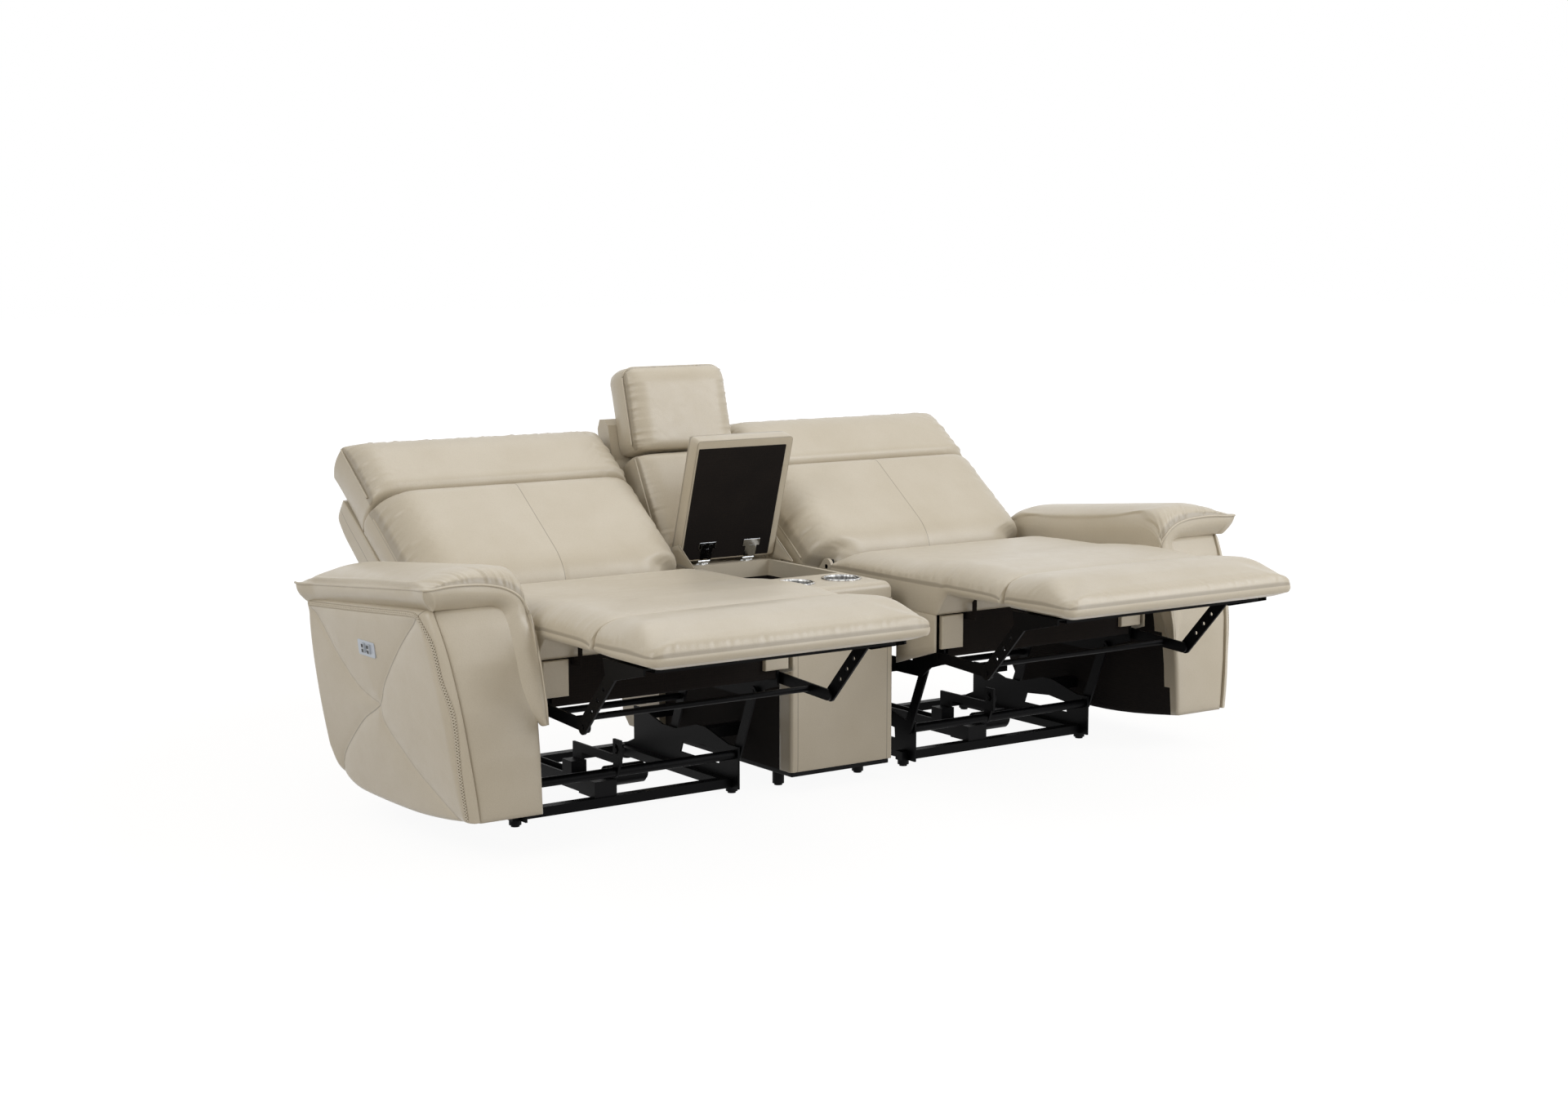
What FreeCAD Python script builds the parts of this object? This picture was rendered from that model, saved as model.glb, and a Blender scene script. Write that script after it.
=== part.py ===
import math
import os

import FreeCAD
import Part

V = FreeCAD.Vector
X_AXIS = V(1, 0, 0)
Y_AXIS = V(0, 1, 0)
os.makedirs("parts", exist_ok=True)

# Frame: +X to the sitter's left, -Y to the front, +Z up. Lengths in mm, angles in degrees.
# All y values below are measured from the front tips of the arm pads.
# FRAME_Y moves the assembly so that its bounding box is centred on the origin.
FRAME_Y = -262.0

# Fits
RUN_CLEAR = 0.05
SIDE_CLEAR = 0.5
JOIN_CLEAR = 0.3
LAYER_CLEAR = 4.0
KNUCKLE_CLEAR = 0.2

# How far cutting shapes run past what they cut, and past a whole arm or back
CUT_OVER = 1.0
CUT_FAR = 200.0
NEAR = 0.1

# Seats, one each side of the console
CONSOLE_HALF = 147.0
CONSOLE_GAP = 48.0
CHAISE_HALF = 345.0
ARM_GAP = 23.0
BACK_WIDER = 7.0
SEAT_X = CONSOLE_HALF + CONSOLE_GAP + CHAISE_HALF
BACK_HALF = CHAISE_HALF + BACK_WIDER
SEAT_CORNER = 34.0
SEAT_RUN = 90.0
BOX_DRAW = 6.0
DRAW_SHARE = 0.2
BOX_MID_SHARE = 0.2
BOX_TOP_SHARE = 0.5
CROWN_ANGLES = (15.0, 31.0, 47.0, 62.0, 76.0, 90.0)

# Recline linkage: parallel swing links, lean from vertical at rest and back again when closed
LINK_LEN = 170.0
LINK_LEAN = 22.5
FRONT_PIVOT_Y = 200.0
REAR_PIVOT_Y = 480.0
BASE_PIVOT_Z = 95.0
LINK_T = 5.0
LINK_R = 14.0
PIN_R = 6.0
DRIVE_TUBE_R = 11.0
STAY_R = 8.0
STAY_UP = 20.0

# Side planes of one mechanism, measured outwards from the seat's middle
PLATE_T = 5.0
PIN_HEAD = 1.5
BASE_PLATE_IN = 67.0
BASE_PLATE_X = CHAISE_HALF - BASE_PLATE_IN
SWING_LINK_X = BASE_PLATE_X + PLATE_T + LAYER_CLEAR
SEAT_PLATE_X = SWING_LINK_X + LINK_T + LAYER_CLEAR
LEG_LINK_X = SEAT_PLATE_X + PLATE_T + LAYER_CLEAR
SHIN_LINK_X = LEG_LINK_X + LINK_T + LAYER_CLEAR
FOOT_PLATE_X = SHIN_LINK_X + LINK_T + LAYER_CLEAR

# Base frame
FRONT_TUBE_Y = 221.0
REAR_TUBE_Y = 690.0
TUBE_W = 26.0
TUBE_Z0 = 15.0
TUBE_H = 22.0
TUBE_Z1 = TUBE_Z0 + TUBE_H
TUBE_WIDER = 23.0
TUBE_HALF = BASE_PLATE_X + TUBE_WIDER
RAIL_IN = 8.0
RAIL_X = BASE_PLATE_X - RAIL_IN
RAIL_H = 20.0
BASE_PLATE_AHEAD = 40.0
BASE_PLATE_UP = 20.0
FRONT_BOSS = 20.0
REAR_BOSS = 30.0
TAB_OVER = 5.0
BASE_WINDOW = ((260.0, 62.0), (430.0, 62.0), (420.0, 88.0), (330.0, 96.0), (262.0, 88.0))
FOOT_R = 14.0
FOOT_TIP = 9.0
TAB_Y = (320.0, 605.0)
TAB_LEN = 36.0
TAB_Z0 = 110.0
TAB_Z1 = 135.0

# Legrest linkage at rest, seat coordinates
HIP = (62.0, 296.0)
KNEE = (-130.0, 285.0)
ANKLE = (-255.0, 418.0)
LEG_LINK_R = 13.0
SHIN_LINK_R = 16.0
SPREADER_R = 7.0
SPREADER_SHARE = 0.65
SHIN_HOLE_R = 5.0
SHIN_HOLE_SHARES = (0.3, 0.5, 0.7)

# Seat body
PLATE_PIN = (510.0, 462.0)
DECK_HALF = SEAT_PLATE_X - JOIN_CLEAR
DECK_Y0 = 45.0
DECK_Y1 = 450.0
DECK_Z0 = 322.0
DECK_Z1 = 399.7
DECK_WALL = 18.0
DECK_WEB = 6.0
SEAT_TUBE_R = 10.0
SEAT_TUBES = ((90.0, 296.0), (430.0, 292.0))
SEAT_PLATE_NOSE = ((48.0, 316.0), (48.0, 278.0), (100.0, 262.0))
SEAT_PLATE_HEEL = ((500.0, 380.0), (529.0, 452.0), (523.0, 478.0), (500.0, 480.0))
SEAT_PLATE_SEAT = (462.0, 60.0)
SEAT_PLATE_UNDER = 17.0
SEAT_PLATE_BEHIND = 24.0
SEAT_WINDOW = ((170.0, 270.0), (390.0, 270.0), (400.0, 310.0), (160.0, 310.0))
CUSHION_Y0 = 20.0
CUSHION_Y1 = 452.0
CUSHION_Z0 = 400.0
CUSHION_BOX = 74.0
CUSHION_SEAM = CUSHION_Z0 + CUSHION_BOX
CUSHION_CROWN = 46.0
STRIP_IN = 41.7
STRIP_W = 64.0
STRIP_T = 12.0
STRIP_DROP = 4.0
STRIP_EDGE = 3.0
STRIP_Z1 = 398.0

# Chaise pads
MID_Y0 = -203.0
MID_Y1 = 3.0
FOOT_Y0 = -458.0
FOOT_Y1 = -209.0
PAD_Z0 = 446.0
PAD_BOX = 27.0
PAD_SEAM = PAD_Z0 + PAD_BOX
MID_CROWN = 48.0
MID_CORNER = 14.0
MID_RUN = 60.0
FOOT_CROWN = 42.0
FOOT_CORNER = 26.0
FOOT_RUN = 70.0
FOOT_BOARD_T = 12.0
FOOT_BOARD_SIDE = 45.0
FOOT_BOARD_HALF = CHAISE_HALF - FOOT_BOARD_SIDE
FOOT_BOARD_IN = 72.0
FOOT_BOARD_BACK = 22.0
FOOT_FLANGE_T = 8.0
FOOT_EAR = 14.0
MID_PIN_UP = 6.0
MID_PIN = (10.0, PAD_Z0 + MID_PIN_UP)
MID_ROD_R = 4.0
MID_BARREL_R = 7.5
MID_BRACKET_X = 240.0
MID_BRACKET_T = 5.0
MID_BRACKET_DEEP = 16.0
MID_BRACKET_EDGE = 6.0
MID_BRACKET_BACK = 5.5
MID_ROD_IN = 30.0
MID_BARREL_IN = 34.0
MID_WEB_LAP = 14.0
MID_WEB_DOWN = 5.0
MID_WEB_UP = 6.0
MID_SLOT_FRONT = 28.0
MID_SLOT_BACK = 12.0

# Back, in its own sloped frame: v runs up the back, w towards the sitter
BACK_ANGLE = 36.6
BACK_ORIGIN = (532.0, 453.0)
BACK_V0 = -42.0
BACK_V1 = 326.0
BACK_BOX_W = -69.0
BACK_CROWN = 92.0
BACK_CORNER = 18.0
BACK_RUN = 112.0
SHELL_V0 = 26.0
SHELL_V1 = 471.0
SHELL_W0 = -153.0
SHELL_W1 = -69.4
SHELL_IN = 4.0
SHELL_EDGE = 7.0
SHELL_GAP = 0.4
# How the shell's rear face curves in towards its top: v, and w from the rear face
SHELL_CURVE = ((400.0, 4.0), (448.0, 14.0), (468.0, 30.0), (SHELL_V1, 48.0))
SHELL_EDGE_W = 32.0
SHELL_SHOULDER = (452.0, 8.0)
SHELL_STEP_V = 320.0
BACK_EAR_R = 19.0
BACK_NECK = ((-30.0, 22.0), (6.0, 24.0), (12.0, -90.0), (-34.0, -90.0))
BACK_HEEL = ((-34.0, -120.0), (-34.0, -40.0))
BACK_HEEL_W = (-74.0, -150.0)
FLANGE_W = (-148.0, -76.0)
FLANGE_IN = 16.0
FLANGE_X0 = BASE_PLATE_X - FLANGE_IN
BACK_TUBE = (-4.0, -112.0)
BACK_TUBE_R = 11.0
NOTCH_V = 30.0
NOTCH_IN = 59.0
NOTCH_X = BACK_HALF - NOTCH_IN
HEAD_V0 = 330.0
HEAD_V1 = 528.0
HEAD_W0 = -69.0
HEAD_SEAM_W = 22.0
HEAD_CROWN = 46.0
HEAD_CORNER = 12.0
HEAD_RUN = 66.0
HEAD_PIN = (331.0, 6.0)
HEAD_PIN_R = 5.0
HEAD_PIN_HALF = 12.0
HEAD_BRACKET_X = 120.0
HEAD_BRACKET_HALF = 4.0
HEAD_BRACKET_V = (250.0, 290.0)
HEAD_BRACKET_BEND = -50.0
HEAD_EYE = ((-9.0, 8.0), (7.0, 6.0), (7.0, -8.0))
HEAD_CLEAR = 1.0
HEAD_ROOM_PAST = 2.0
HEAD_ROOM_OVER = 3.0
HEAD_SLOT_V = (320.0, 346.0)
HEAD_SLOT_W = (17.0, -72.0)

# Console between the seats
CONSOLE_Y0 = 130.0
CONSOLE_Y1 = 676.0
CONSOLE_Z0 = 49.0
CONSOLE_Z1 = 438.0
CONSOLE_WALL = 22.0
CONSOLE_CORNER = 8.0
STORE_WALL = 29.0
STORE_HALF = CONSOLE_HALF - STORE_WALL
STORE_Y0 = 312.0
STORE_Y1 = 606.0
STORE_Z0 = 170.0
STORE_FLOOR_T = 14.0
TOP_PAD_T = 40.0
TOP_PAD_EDGE = 20.0
TOP_PAD_BACK = 34.0
CUP_X = 68.0
CUP_Y = 228.0
CUP_R = 41.0
CUP_WALL = 1.5
CUP_RIM_R = 48.0
CUP_RIM_T = 3.0
CUP_DEPTH = 74.0
CUP_CLEAR = 1.0
CUP_ROOM = 18.0
CUP_RIM_SLOPE = 2.0
CONSOLE_FEET = ((117.0, 226.0), (117.0, 700.0))

# Console lid, drawn shut and then opened about its hinge line
LID_OPEN = 73.4
LID_PIN = (626.0, 486.0)
LID_SIDE = 7.0
LID_HALF = CONSOLE_HALF - LID_SIDE
LID_Y0 = 306.0
LID_Y1 = 617.0
LID_Z0 = 480.0
LID_Z1 = 524.0
LINING_SIDE = 1.0
LINING_HALF = STORE_HALF - LINING_SIDE
LINING_IN = 22.0
LINING_T = 3.0
LINING_BACK = 8.0
LID_EDGE = 14.0
HINGE_X = 66.0
HINGE_HALF = 17.0
HINGE_R = 5.0
HINGE_PIN_R = 2.5
HINGE_LEAF_T = 2.0
HINGE_ARM_END = 3.0
HINGE_SIDE_T = 1.6
HINGE_TAIL = 40.0
HINGE_POST = (-2.0, 8.0)
HINGE_PLATE = (4.0, 30.0)

# Console back
CB_LOW_ANGLE = 62.4
CB_LOW_ORIGIN = (679.0, 479.0)
CB_LOW_LEN = 296.0
CB_WIDER = 4.0
CB_HALF = CONSOLE_HALF + CB_WIDER
CB_BOX = 70.0
CB_CROWN = 30.0
CB_CORNER = 16.0
CB_RUN = 60.0
CB_ROLL_ANGLE = 75.0
CB_ROLL_ORIGIN = (818.0, 744.0)
CB_ROLL_LEN = 212.0
CB_ROLL_BOX = 74.0
CB_ROLL_CROWN = 36.0
CB_ROLL_CORNER = 34.0
CB_SHELL_WIDER = 15.0
CB_SHELL_HALF = CB_HALF + CB_SHELL_WIDER
CB_SHELL_GAP = 0.4
CB_SHELL_PROFILE = ((744.8, 452.8), (881.0, 712.4), (891.2, 722.0), (913.2, 810.0), (930.0, 824.0),
                    (954.0, 822.0), (964.0, 798.0), (930.0, 600.0), (850.0, 79.0), (820.0, 49.0))
CB_SHELL_SEAT_Z = 452.0

# Arms, drawn on the +X side and mirrored
ARM_INNER = SEAT_X + CHAISE_HALF + ARM_GAP
ARM_LEAN = 6.9
WING_FOOT_OUT = 178.0
WING_FOOT_X = ARM_INNER + WING_FOOT_OUT
WING_FOOT_Z = 94.0
WING_T = 26.0
WING_EDGE = 14.0
WING_FRONT = ((-59.0, 94.0), (-51.0, 219.0), (-38.0, 325.0), (-12.0, 424.0), (36.0, 530.0))
WING_REAR = ((622.0, 480.0), (623.0, 336.0), (604.0, 150.0))
WING_UNDER = ((570.0, 100.0), (494.0, 74.0), (213.0, 68.0))
CORE_WALL = 20.0
CORE_BACK = 5.0
CORE_SAG = 14.0
PAD_SLOPE = 0.096
PAD_LEN = 634.0
PAD_BASE_Z = 527.5
PAD_TIP_OUT = 242.0
PAD_TIP_X = ARM_INNER + PAD_TIP_OUT
PAD_IN = 4.0
PAD_TUCK = 10.0
# The pad's section: out from the arm's inner side, height, how far x stands out at the ends,
# share of the crown's drop
PAD_SECTION = (
    (PAD_IN, 0.0, 0.0, 0.0),
    (102.0, -1.0, 0.0, 0.0),
    (190.0, 1.0, 0.0, 0.0),
    (222.0, 20.0, 6.0, 0.0),
    (PAD_TIP_OUT - PAD_TUCK, 53.0, PAD_TUCK, 0.0),
    (204.0, 83.0, 0.0, 0.5),
    (142.0, 97.0, 0.0, 0.9),
    (92.0, 99.0, 0.0, 1.0),
    (32.0, 92.0, 0.0, 0.9),
    (-4.0, 66.0, 0.0, 0.5),
    (-12.0, 30.0, 0.0, 0.2),
    (-9.0, 12.0, 0.0, 0.0),
)
# Stations along the pad: y, how far the outer edge stands out, how far the crown drops
PAD_STATIONS = ((0.0, 1.0, 3.0), (70.0, 0.4, 0.0), (220.0, 0.0, -2.0), (400.0, 0.0, 0.0),
                (540.0, 0.4, 8.0), (PAD_LEN, 1.0, 44.0))
FLAP_T = 12.0
FLAP_IN = 14.0
FLAP_FACE = ((90.0, 540.0), (82.0, 516.0), (47.0, 430.0), (24.0, 350.0), (2.0, 290.0),
             (-6.0, 281.0), (-14.0, 290.0))
FLAP_TOP_Z = 540.0
FLAP_STRIP_Y = -20.0
FLAP_BACK = 120.0
SWITCH_Y = 321.0
SWITCH_Z = 416.0
SWITCH_LEN = 80.0
SWITCH_H = 34.0
SWITCH_T = 3.0
SWITCH_CORNER = 5.0
BUTTON_LEN = 12.0
BUTTON_H = 20.0
BUTTON_T = 5.0
BUTTON_PITCH = 26.0
BUTTON_TRAVEL = 1.5
BUTTON_CLEAR = 0.4
BUTTON_EDGE = 0.8

# Actuator
ACT_X = -60.0
ACT_HALF = 20.0
ACT_Y0 = 240.0
ACT_Y1 = 678.0
ACT_Z1 = 70.0
MOTOR_R = 24.0
MOTOR_LEN = 96.0
BLOCK_Y0 = 330.0
BLOCK_Y1 = 372.0
BLOCK_Z1 = 100.0
LEVER_LEN = 60.0
LEVER_PIN_R = 5.0
YOKE_CLEAR = 0.7
LEVER_R = 12.0
LEVER_X = (16.0, 22.0)
LEVER_PIN_X = 6.0
ACT_WALL = 4.0
ACT_GROOVE = (40.0, 12.0)
SPINDLE_R = 6.0
SPINDLE_Z = 57.0
SPINDLE_ENDS = (41.0, 15.0)
GEAR_X = (-28.0, 30.0)
GEAR_AHEAD = 8.0
GEAR_BACK = 44.0
GEAR_UP = 4.0
MOTOR_Y = 262.0
MOTOR_Z = 72.0
MOTOR_CAP_IN = 5.0
MOTOR_CAP_LEN = 6.0
YOKE_X = (8.0, 14.0)
YOKE_LAP = 4.0
YOKE_HALF = 16.0
YOKE_Z0 = 118.0
YOKE_Z1 = 138.0
YOKE_TOP = 174.0
YOKE_SLOT_Z = (142.0, 164.0)


def box(x0, x1, y0, y1, z0, z1):
    """A block between two corners."""
    return Part.makeBox(x1 - x0, y1 - y0, z1 - z0, V(x0, y0, z0))


def prism(points, x0, x1):
    """A polygon in the side view, carried from x0 to x1."""
    wire = Part.makePolygon([V(x0, y, z) for y, z in list(points) + [points[0]]])
    return Part.Face(wire).extrude(V(x1 - x0, 0, 0))


def rod(r, y, z, x0, x1):
    """A round bar parallel to X."""
    return Part.makeCylinder(r, x1 - x0, V(x0, y, z), X_AXIS)


def bar(p, q, r, x0, x1):
    """A flat link with round ends between two side-view points."""
    dy = q[0] - p[0]
    dz = q[1] - p[1]
    size = math.hypot(dy, dz)
    ny = -dz / size * r
    nz = dy / size * r
    uy = dy / size * r
    uz = dz / size * r
    a = V(x0, p[0] + ny, p[1] + nz)
    b = V(x0, q[0] + ny, q[1] + nz)
    c = V(x0, q[0] + uy, q[1] + uz)
    d = V(x0, q[0] - ny, q[1] - nz)
    e = V(x0, p[0] - ny, p[1] - nz)
    f = V(x0, p[0] - uy, p[1] - uz)
    edges = [
        Part.makeLine(a, b),
        Part.Arc(b, c, d).toShape(),
        Part.makeLine(d, e),
        Part.Arc(e, f, a).toShape(),
    ]
    return Part.Face(Part.Wire(edges)).extrude(V(x1 - x0, 0, 0))


def union(shapes):
    """One solid from several that touch or overlap."""
    out = shapes[0]
    for shape in shapes[1:]:
        out = out.fuse(shape)
    return out.removeSplitter()


def turned(shape, pin, angle):
    """A copy turned about the line through a side-view point, parallel to X."""
    out = shape.copy()
    out.rotate(V(0, pin[0], pin[1]), X_AXIS, angle)
    return out


def mirrored(shape):
    """The shape on the other side of the middle plane."""
    return shape.mirror(V(0, 0, 0), X_AXIS)


def both_sides(shape):
    """The shape and its mirror image."""
    return [shape, mirrored(shape)]


def pad_wire(half, y0, y1, inset, corner, z):
    """A rounded rectangle of four lines and four arcs."""
    a = half - inset
    b0 = y0 + inset
    b1 = y1 - inset
    r = corner
    k = r * (1.0 - math.sqrt(0.5))
    edges = [
        Part.makeLine(V(-a + r, b0, z), V(a - r, b0, z)),
        Part.Arc(V(a - r, b0, z), V(a - k, b0 + k, z), V(a, b0 + r, z)).toShape(),
        Part.makeLine(V(a, b0 + r, z), V(a, b1 - r, z)),
        Part.Arc(V(a, b1 - r, z), V(a - k, b1 - k, z), V(a - r, b1, z)).toShape(),
        Part.makeLine(V(a - r, b1, z), V(-a + r, b1, z)),
        Part.Arc(V(-a + r, b1, z), V(-a + k, b1 - k, z), V(-a, b1 - r, z)).toShape(),
        Part.makeLine(V(-a, b1 - r, z), V(-a, b0 + r, z)),
        Part.Arc(V(-a, b0 + r, z), V(-a + k, b0 + k, z), V(-a + r, b0, z)).toShape(),
    ]
    return Part.Wire(edges)


def crowned(half, y0, y1, z0, seam, crown, corner, run):
    """A cushion: drawn-in boxing up to the seam, then a crown that rises over the run."""
    draw = min(BOX_DRAW, (seam - z0) * DRAW_SHARE)
    mid = 0.5 * (z0 + seam)
    box_wires = [
        pad_wire(half, y0, y1, draw, corner, z0),
        pad_wire(half, y0, y1, draw * BOX_MID_SHARE, corner, mid),
        pad_wire(half, y0, y1, draw * BOX_TOP_SHARE, corner, seam),
    ]
    for t in CROWN_ANGLES:
        inset = draw * BOX_TOP_SHARE + run * (1.0 - math.cos(math.radians(t)))
        height = crown * math.sin(math.radians(t))
        box_wires.append(pad_wire(half, y0, y1, inset, corner, seam + height))
    return Part.makeLoft(box_wires, True, True)


def sloped(shape, origin, angle):
    """From a back's own v, w frame to the side view."""
    out = shape.copy()
    out.rotate(V(0, 0, 0), X_AXIS, angle)
    out.translate(V(0, origin[0], origin[1]))
    return out


def lean_point(base, angle, length):
    """The upper end of a swing link that leans to the front by the angle."""
    a = math.radians(angle)
    return (base[0] - length * math.sin(a), base[1] + length * math.cos(a))


FRONT_BASE = (FRONT_PIVOT_Y, BASE_PIVOT_Z)
REAR_BASE = (REAR_PIVOT_Y, BASE_PIVOT_Z)
FRONT_TOP = lean_point(FRONT_BASE, LINK_LEAN, LINK_LEN)
REAR_TOP = lean_point(REAR_BASE, LINK_LEAN, LINK_LEN)
LEVER_TOP = lean_point(FRONT_BASE, LINK_LEAN, LEVER_LEN)


def side_point(v, w, origin=BACK_ORIGIN, angle=BACK_ANGLE):
    """Side-view y, z of a point v up a sloped back and w out from it."""
    a = math.radians(angle)
    y = origin[0] + v * math.cos(a) - w * math.sin(a)
    z = origin[1] + v * math.sin(a) + w * math.cos(a)
    return (y, z)


def base_frame():
    """Tubes, upright pivot plates and the tabs that carry the arm and the console."""
    out = []
    tube_y = (FRONT_TUBE_Y, REAR_TUBE_Y)
    for y in tube_y:
        out.append(box(-TUBE_HALF, TUBE_HALF, y - TUBE_W / 2, y + TUBE_W / 2, TUBE_Z0, TUBE_Z1))
    top = TAB_Z1 + TAB_OVER
    front = FRONT_TUBE_Y - BASE_PLATE_AHEAD
    boss_z = BASE_PIVOT_Z + BASE_PLATE_UP
    y_last = TAB_Y[1] + TAB_LEN
    profile = [
        (front, TUBE_Z0),
        (REAR_TUBE_Y, TUBE_Z0),
        (REAR_TUBE_Y, TUBE_Z1),
        (y_last, TUBE_Z1 + BASE_PLATE_UP),
        (y_last, top),
        (TAB_Y[1], top),
        (REAR_PIVOT_Y + REAR_BOSS, boss_z),
        (REAR_PIVOT_Y - REAR_BOSS, boss_z),
        (TAB_Y[0] + TAB_LEN, top),
        (TAB_Y[0], top),
        (FRONT_PIVOT_Y + FRONT_BOSS, boss_z),
        (front, boss_z),
    ]
    plate = prism(profile, BASE_PLATE_X, BASE_PLATE_X + PLATE_T)
    window = prism(BASE_WINDOW, BASE_PLATE_X - CUT_OVER, BASE_PLATE_X + PLATE_T + CUT_OVER)
    plate = plate.cut(window)
    hole = rod(DRIVE_TUBE_R + RUN_CLEAR, FRONT_BASE[0], FRONT_BASE[1], BASE_PLATE_X - CUT_OVER,
               BASE_PLATE_X + PLATE_T + CUT_OVER)
    plate = plate.cut(hole)
    rail = box(RAIL_X - TUBE_W / 2, BASE_PLATE_X, FRONT_TUBE_Y, REAR_TUBE_Y, TUBE_Z0, TUBE_Z0 + RAIL_H)
    pin_end = SWING_LINK_X + LINK_T + PIN_HEAD
    pin = rod(PIN_R, REAR_BASE[0], REAR_BASE[1], BASE_PLATE_X, pin_end)
    side = [plate, rail, pin]
    for y in TAB_Y:
        side.append(box(BASE_PLATE_X + PLATE_T, ARM_INNER - SEAT_X, y, y + TAB_LEN, TAB_Z0, TAB_Z1))
    for shape in side:
        out.extend(both_sides(shape))
    # The console side is nearer than the arm side, so its tabs are trimmed by the arm's distance
    out.append(box(-(SEAT_X - CONSOLE_HALF), -(ARM_INNER - SEAT_X), TAB_Y[0], TAB_Y[0] + TAB_LEN,
                   TAB_Z0, TAB_Z1))
    out.append(box(-(SEAT_X - CONSOLE_HALF), -(ARM_INNER - SEAT_X), TAB_Y[1], TAB_Y[1] + TAB_LEN,
                   TAB_Z0, TAB_Z1))
    return union(out)


def foot(x, y, top):
    """A foot with a wide head under the tube and a narrower tip."""
    head = Part.makeCylinder(FOOT_R, top - FOOT_TIP * 0.5, V(x, y, FOOT_TIP * 0.5))
    tip = Part.makeCylinder(FOOT_R * 0.7, FOOT_TIP * 0.5, V(x, y, 0))
    return head.fuse(tip).removeSplitter()


def feet():
    """All the levelling feet, under both base frames and the console."""
    out = []
    for sx in (-1.0, 1.0):
        for dx in (-TUBE_HALF + FOOT_R, TUBE_HALF - FOOT_R):
            for y in (FRONT_TUBE_Y, REAR_TUBE_Y):
                out.append(foot(sx * SEAT_X + dx, y, TUBE_Z0))
        for x, y in CONSOLE_FEET:
            out.append(foot(sx * x, y, CONSOLE_Z0))
    return Part.makeCompound(out)


def front_links():
    """Both front swing links, the drive tube that joins them and its lever."""
    out = [rod(DRIVE_TUBE_R, FRONT_BASE[0], FRONT_BASE[1], -SWING_LINK_X, SWING_LINK_X)]
    link = bar(FRONT_BASE, FRONT_TOP, LINK_R, SWING_LINK_X, SWING_LINK_X + LINK_T)
    hole = rod(PIN_R + RUN_CLEAR, FRONT_TOP[0], FRONT_TOP[1], SWING_LINK_X - CUT_OVER,
               SWING_LINK_X + LINK_T + CUT_OVER)
    link = link.cut(hole)
    out.extend(both_sides(link))
    lever = bar(FRONT_BASE, LEVER_TOP, LEVER_R, ACT_X + LEVER_X[0], ACT_X + LEVER_X[1])
    pin = rod(LEVER_PIN_R, LEVER_TOP[0], LEVER_TOP[1], ACT_X + LEVER_PIN_X, ACT_X + LEVER_X[0])
    out.extend([lever, pin])
    return union(out)


def rear_links():
    """The two rear swing links with the stay between them."""
    link = bar(REAR_BASE, REAR_TOP, LINK_R, SWING_LINK_X, SWING_LINK_X + LINK_T)
    for point in (REAR_BASE, REAR_TOP):
        hole = rod(PIN_R + RUN_CLEAR, point[0], point[1], SWING_LINK_X - CUT_OVER,
                   SWING_LINK_X + LINK_T + CUT_OVER)
        link = link.cut(hole)
    mid = (0.5 * (REAR_BASE[0] + REAR_TOP[0]), 0.5 * (REAR_BASE[1] + REAR_TOP[1]) + STAY_UP)
    stay = rod(STAY_R, mid[0], mid[1], -SWING_LINK_X, SWING_LINK_X)
    return union(both_sides(link) + [stay])


def seat_frame():
    """Steel side plates with their pivots, cross tubes and the brackets of the legrest rod."""
    under_front = (FRONT_TOP[0], FRONT_TOP[1] - SEAT_PLATE_UNDER)
    under_rear = (REAR_TOP[0], REAR_TOP[1] - SEAT_PLATE_UNDER)
    behind = (REAR_TOP[0] + SEAT_PLATE_BEHIND, REAR_TOP[1])
    top = [(y, CUSHION_Z0 - JOIN_CLEAR) for y in SEAT_PLATE_SEAT]
    profile = list(SEAT_PLATE_NOSE) + [under_front, under_rear, behind] + list(SEAT_PLATE_HEEL) + top
    x0 = SEAT_PLATE_X
    x1 = SEAT_PLATE_X + PLATE_T
    plate = prism(profile, x0, x1)
    window = prism(SEAT_WINDOW, x0 - CUT_OVER, x1 + CUT_OVER)
    plate = plate.cut(window)
    out = [plate]
    for point in (FRONT_TOP, REAR_TOP):
        out.append(rod(PIN_R, point[0], point[1], SWING_LINK_X - CUT_OVER, x0))
    out.append(rod(PIN_R, HIP[0], HIP[1], x1, LEG_LINK_X + LINK_T + PIN_HEAD))
    out.append(rod(PIN_R, PLATE_PIN[0], PLATE_PIN[1], x1, LEG_LINK_X + LINK_T + PIN_HEAD))
    out = [side for shape in out for side in both_sides(shape)]
    for y, z in SEAT_TUBES:
        out.append(rod(SEAT_TUBE_R, y, z, -x0, x0))
    return union(out)


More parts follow.
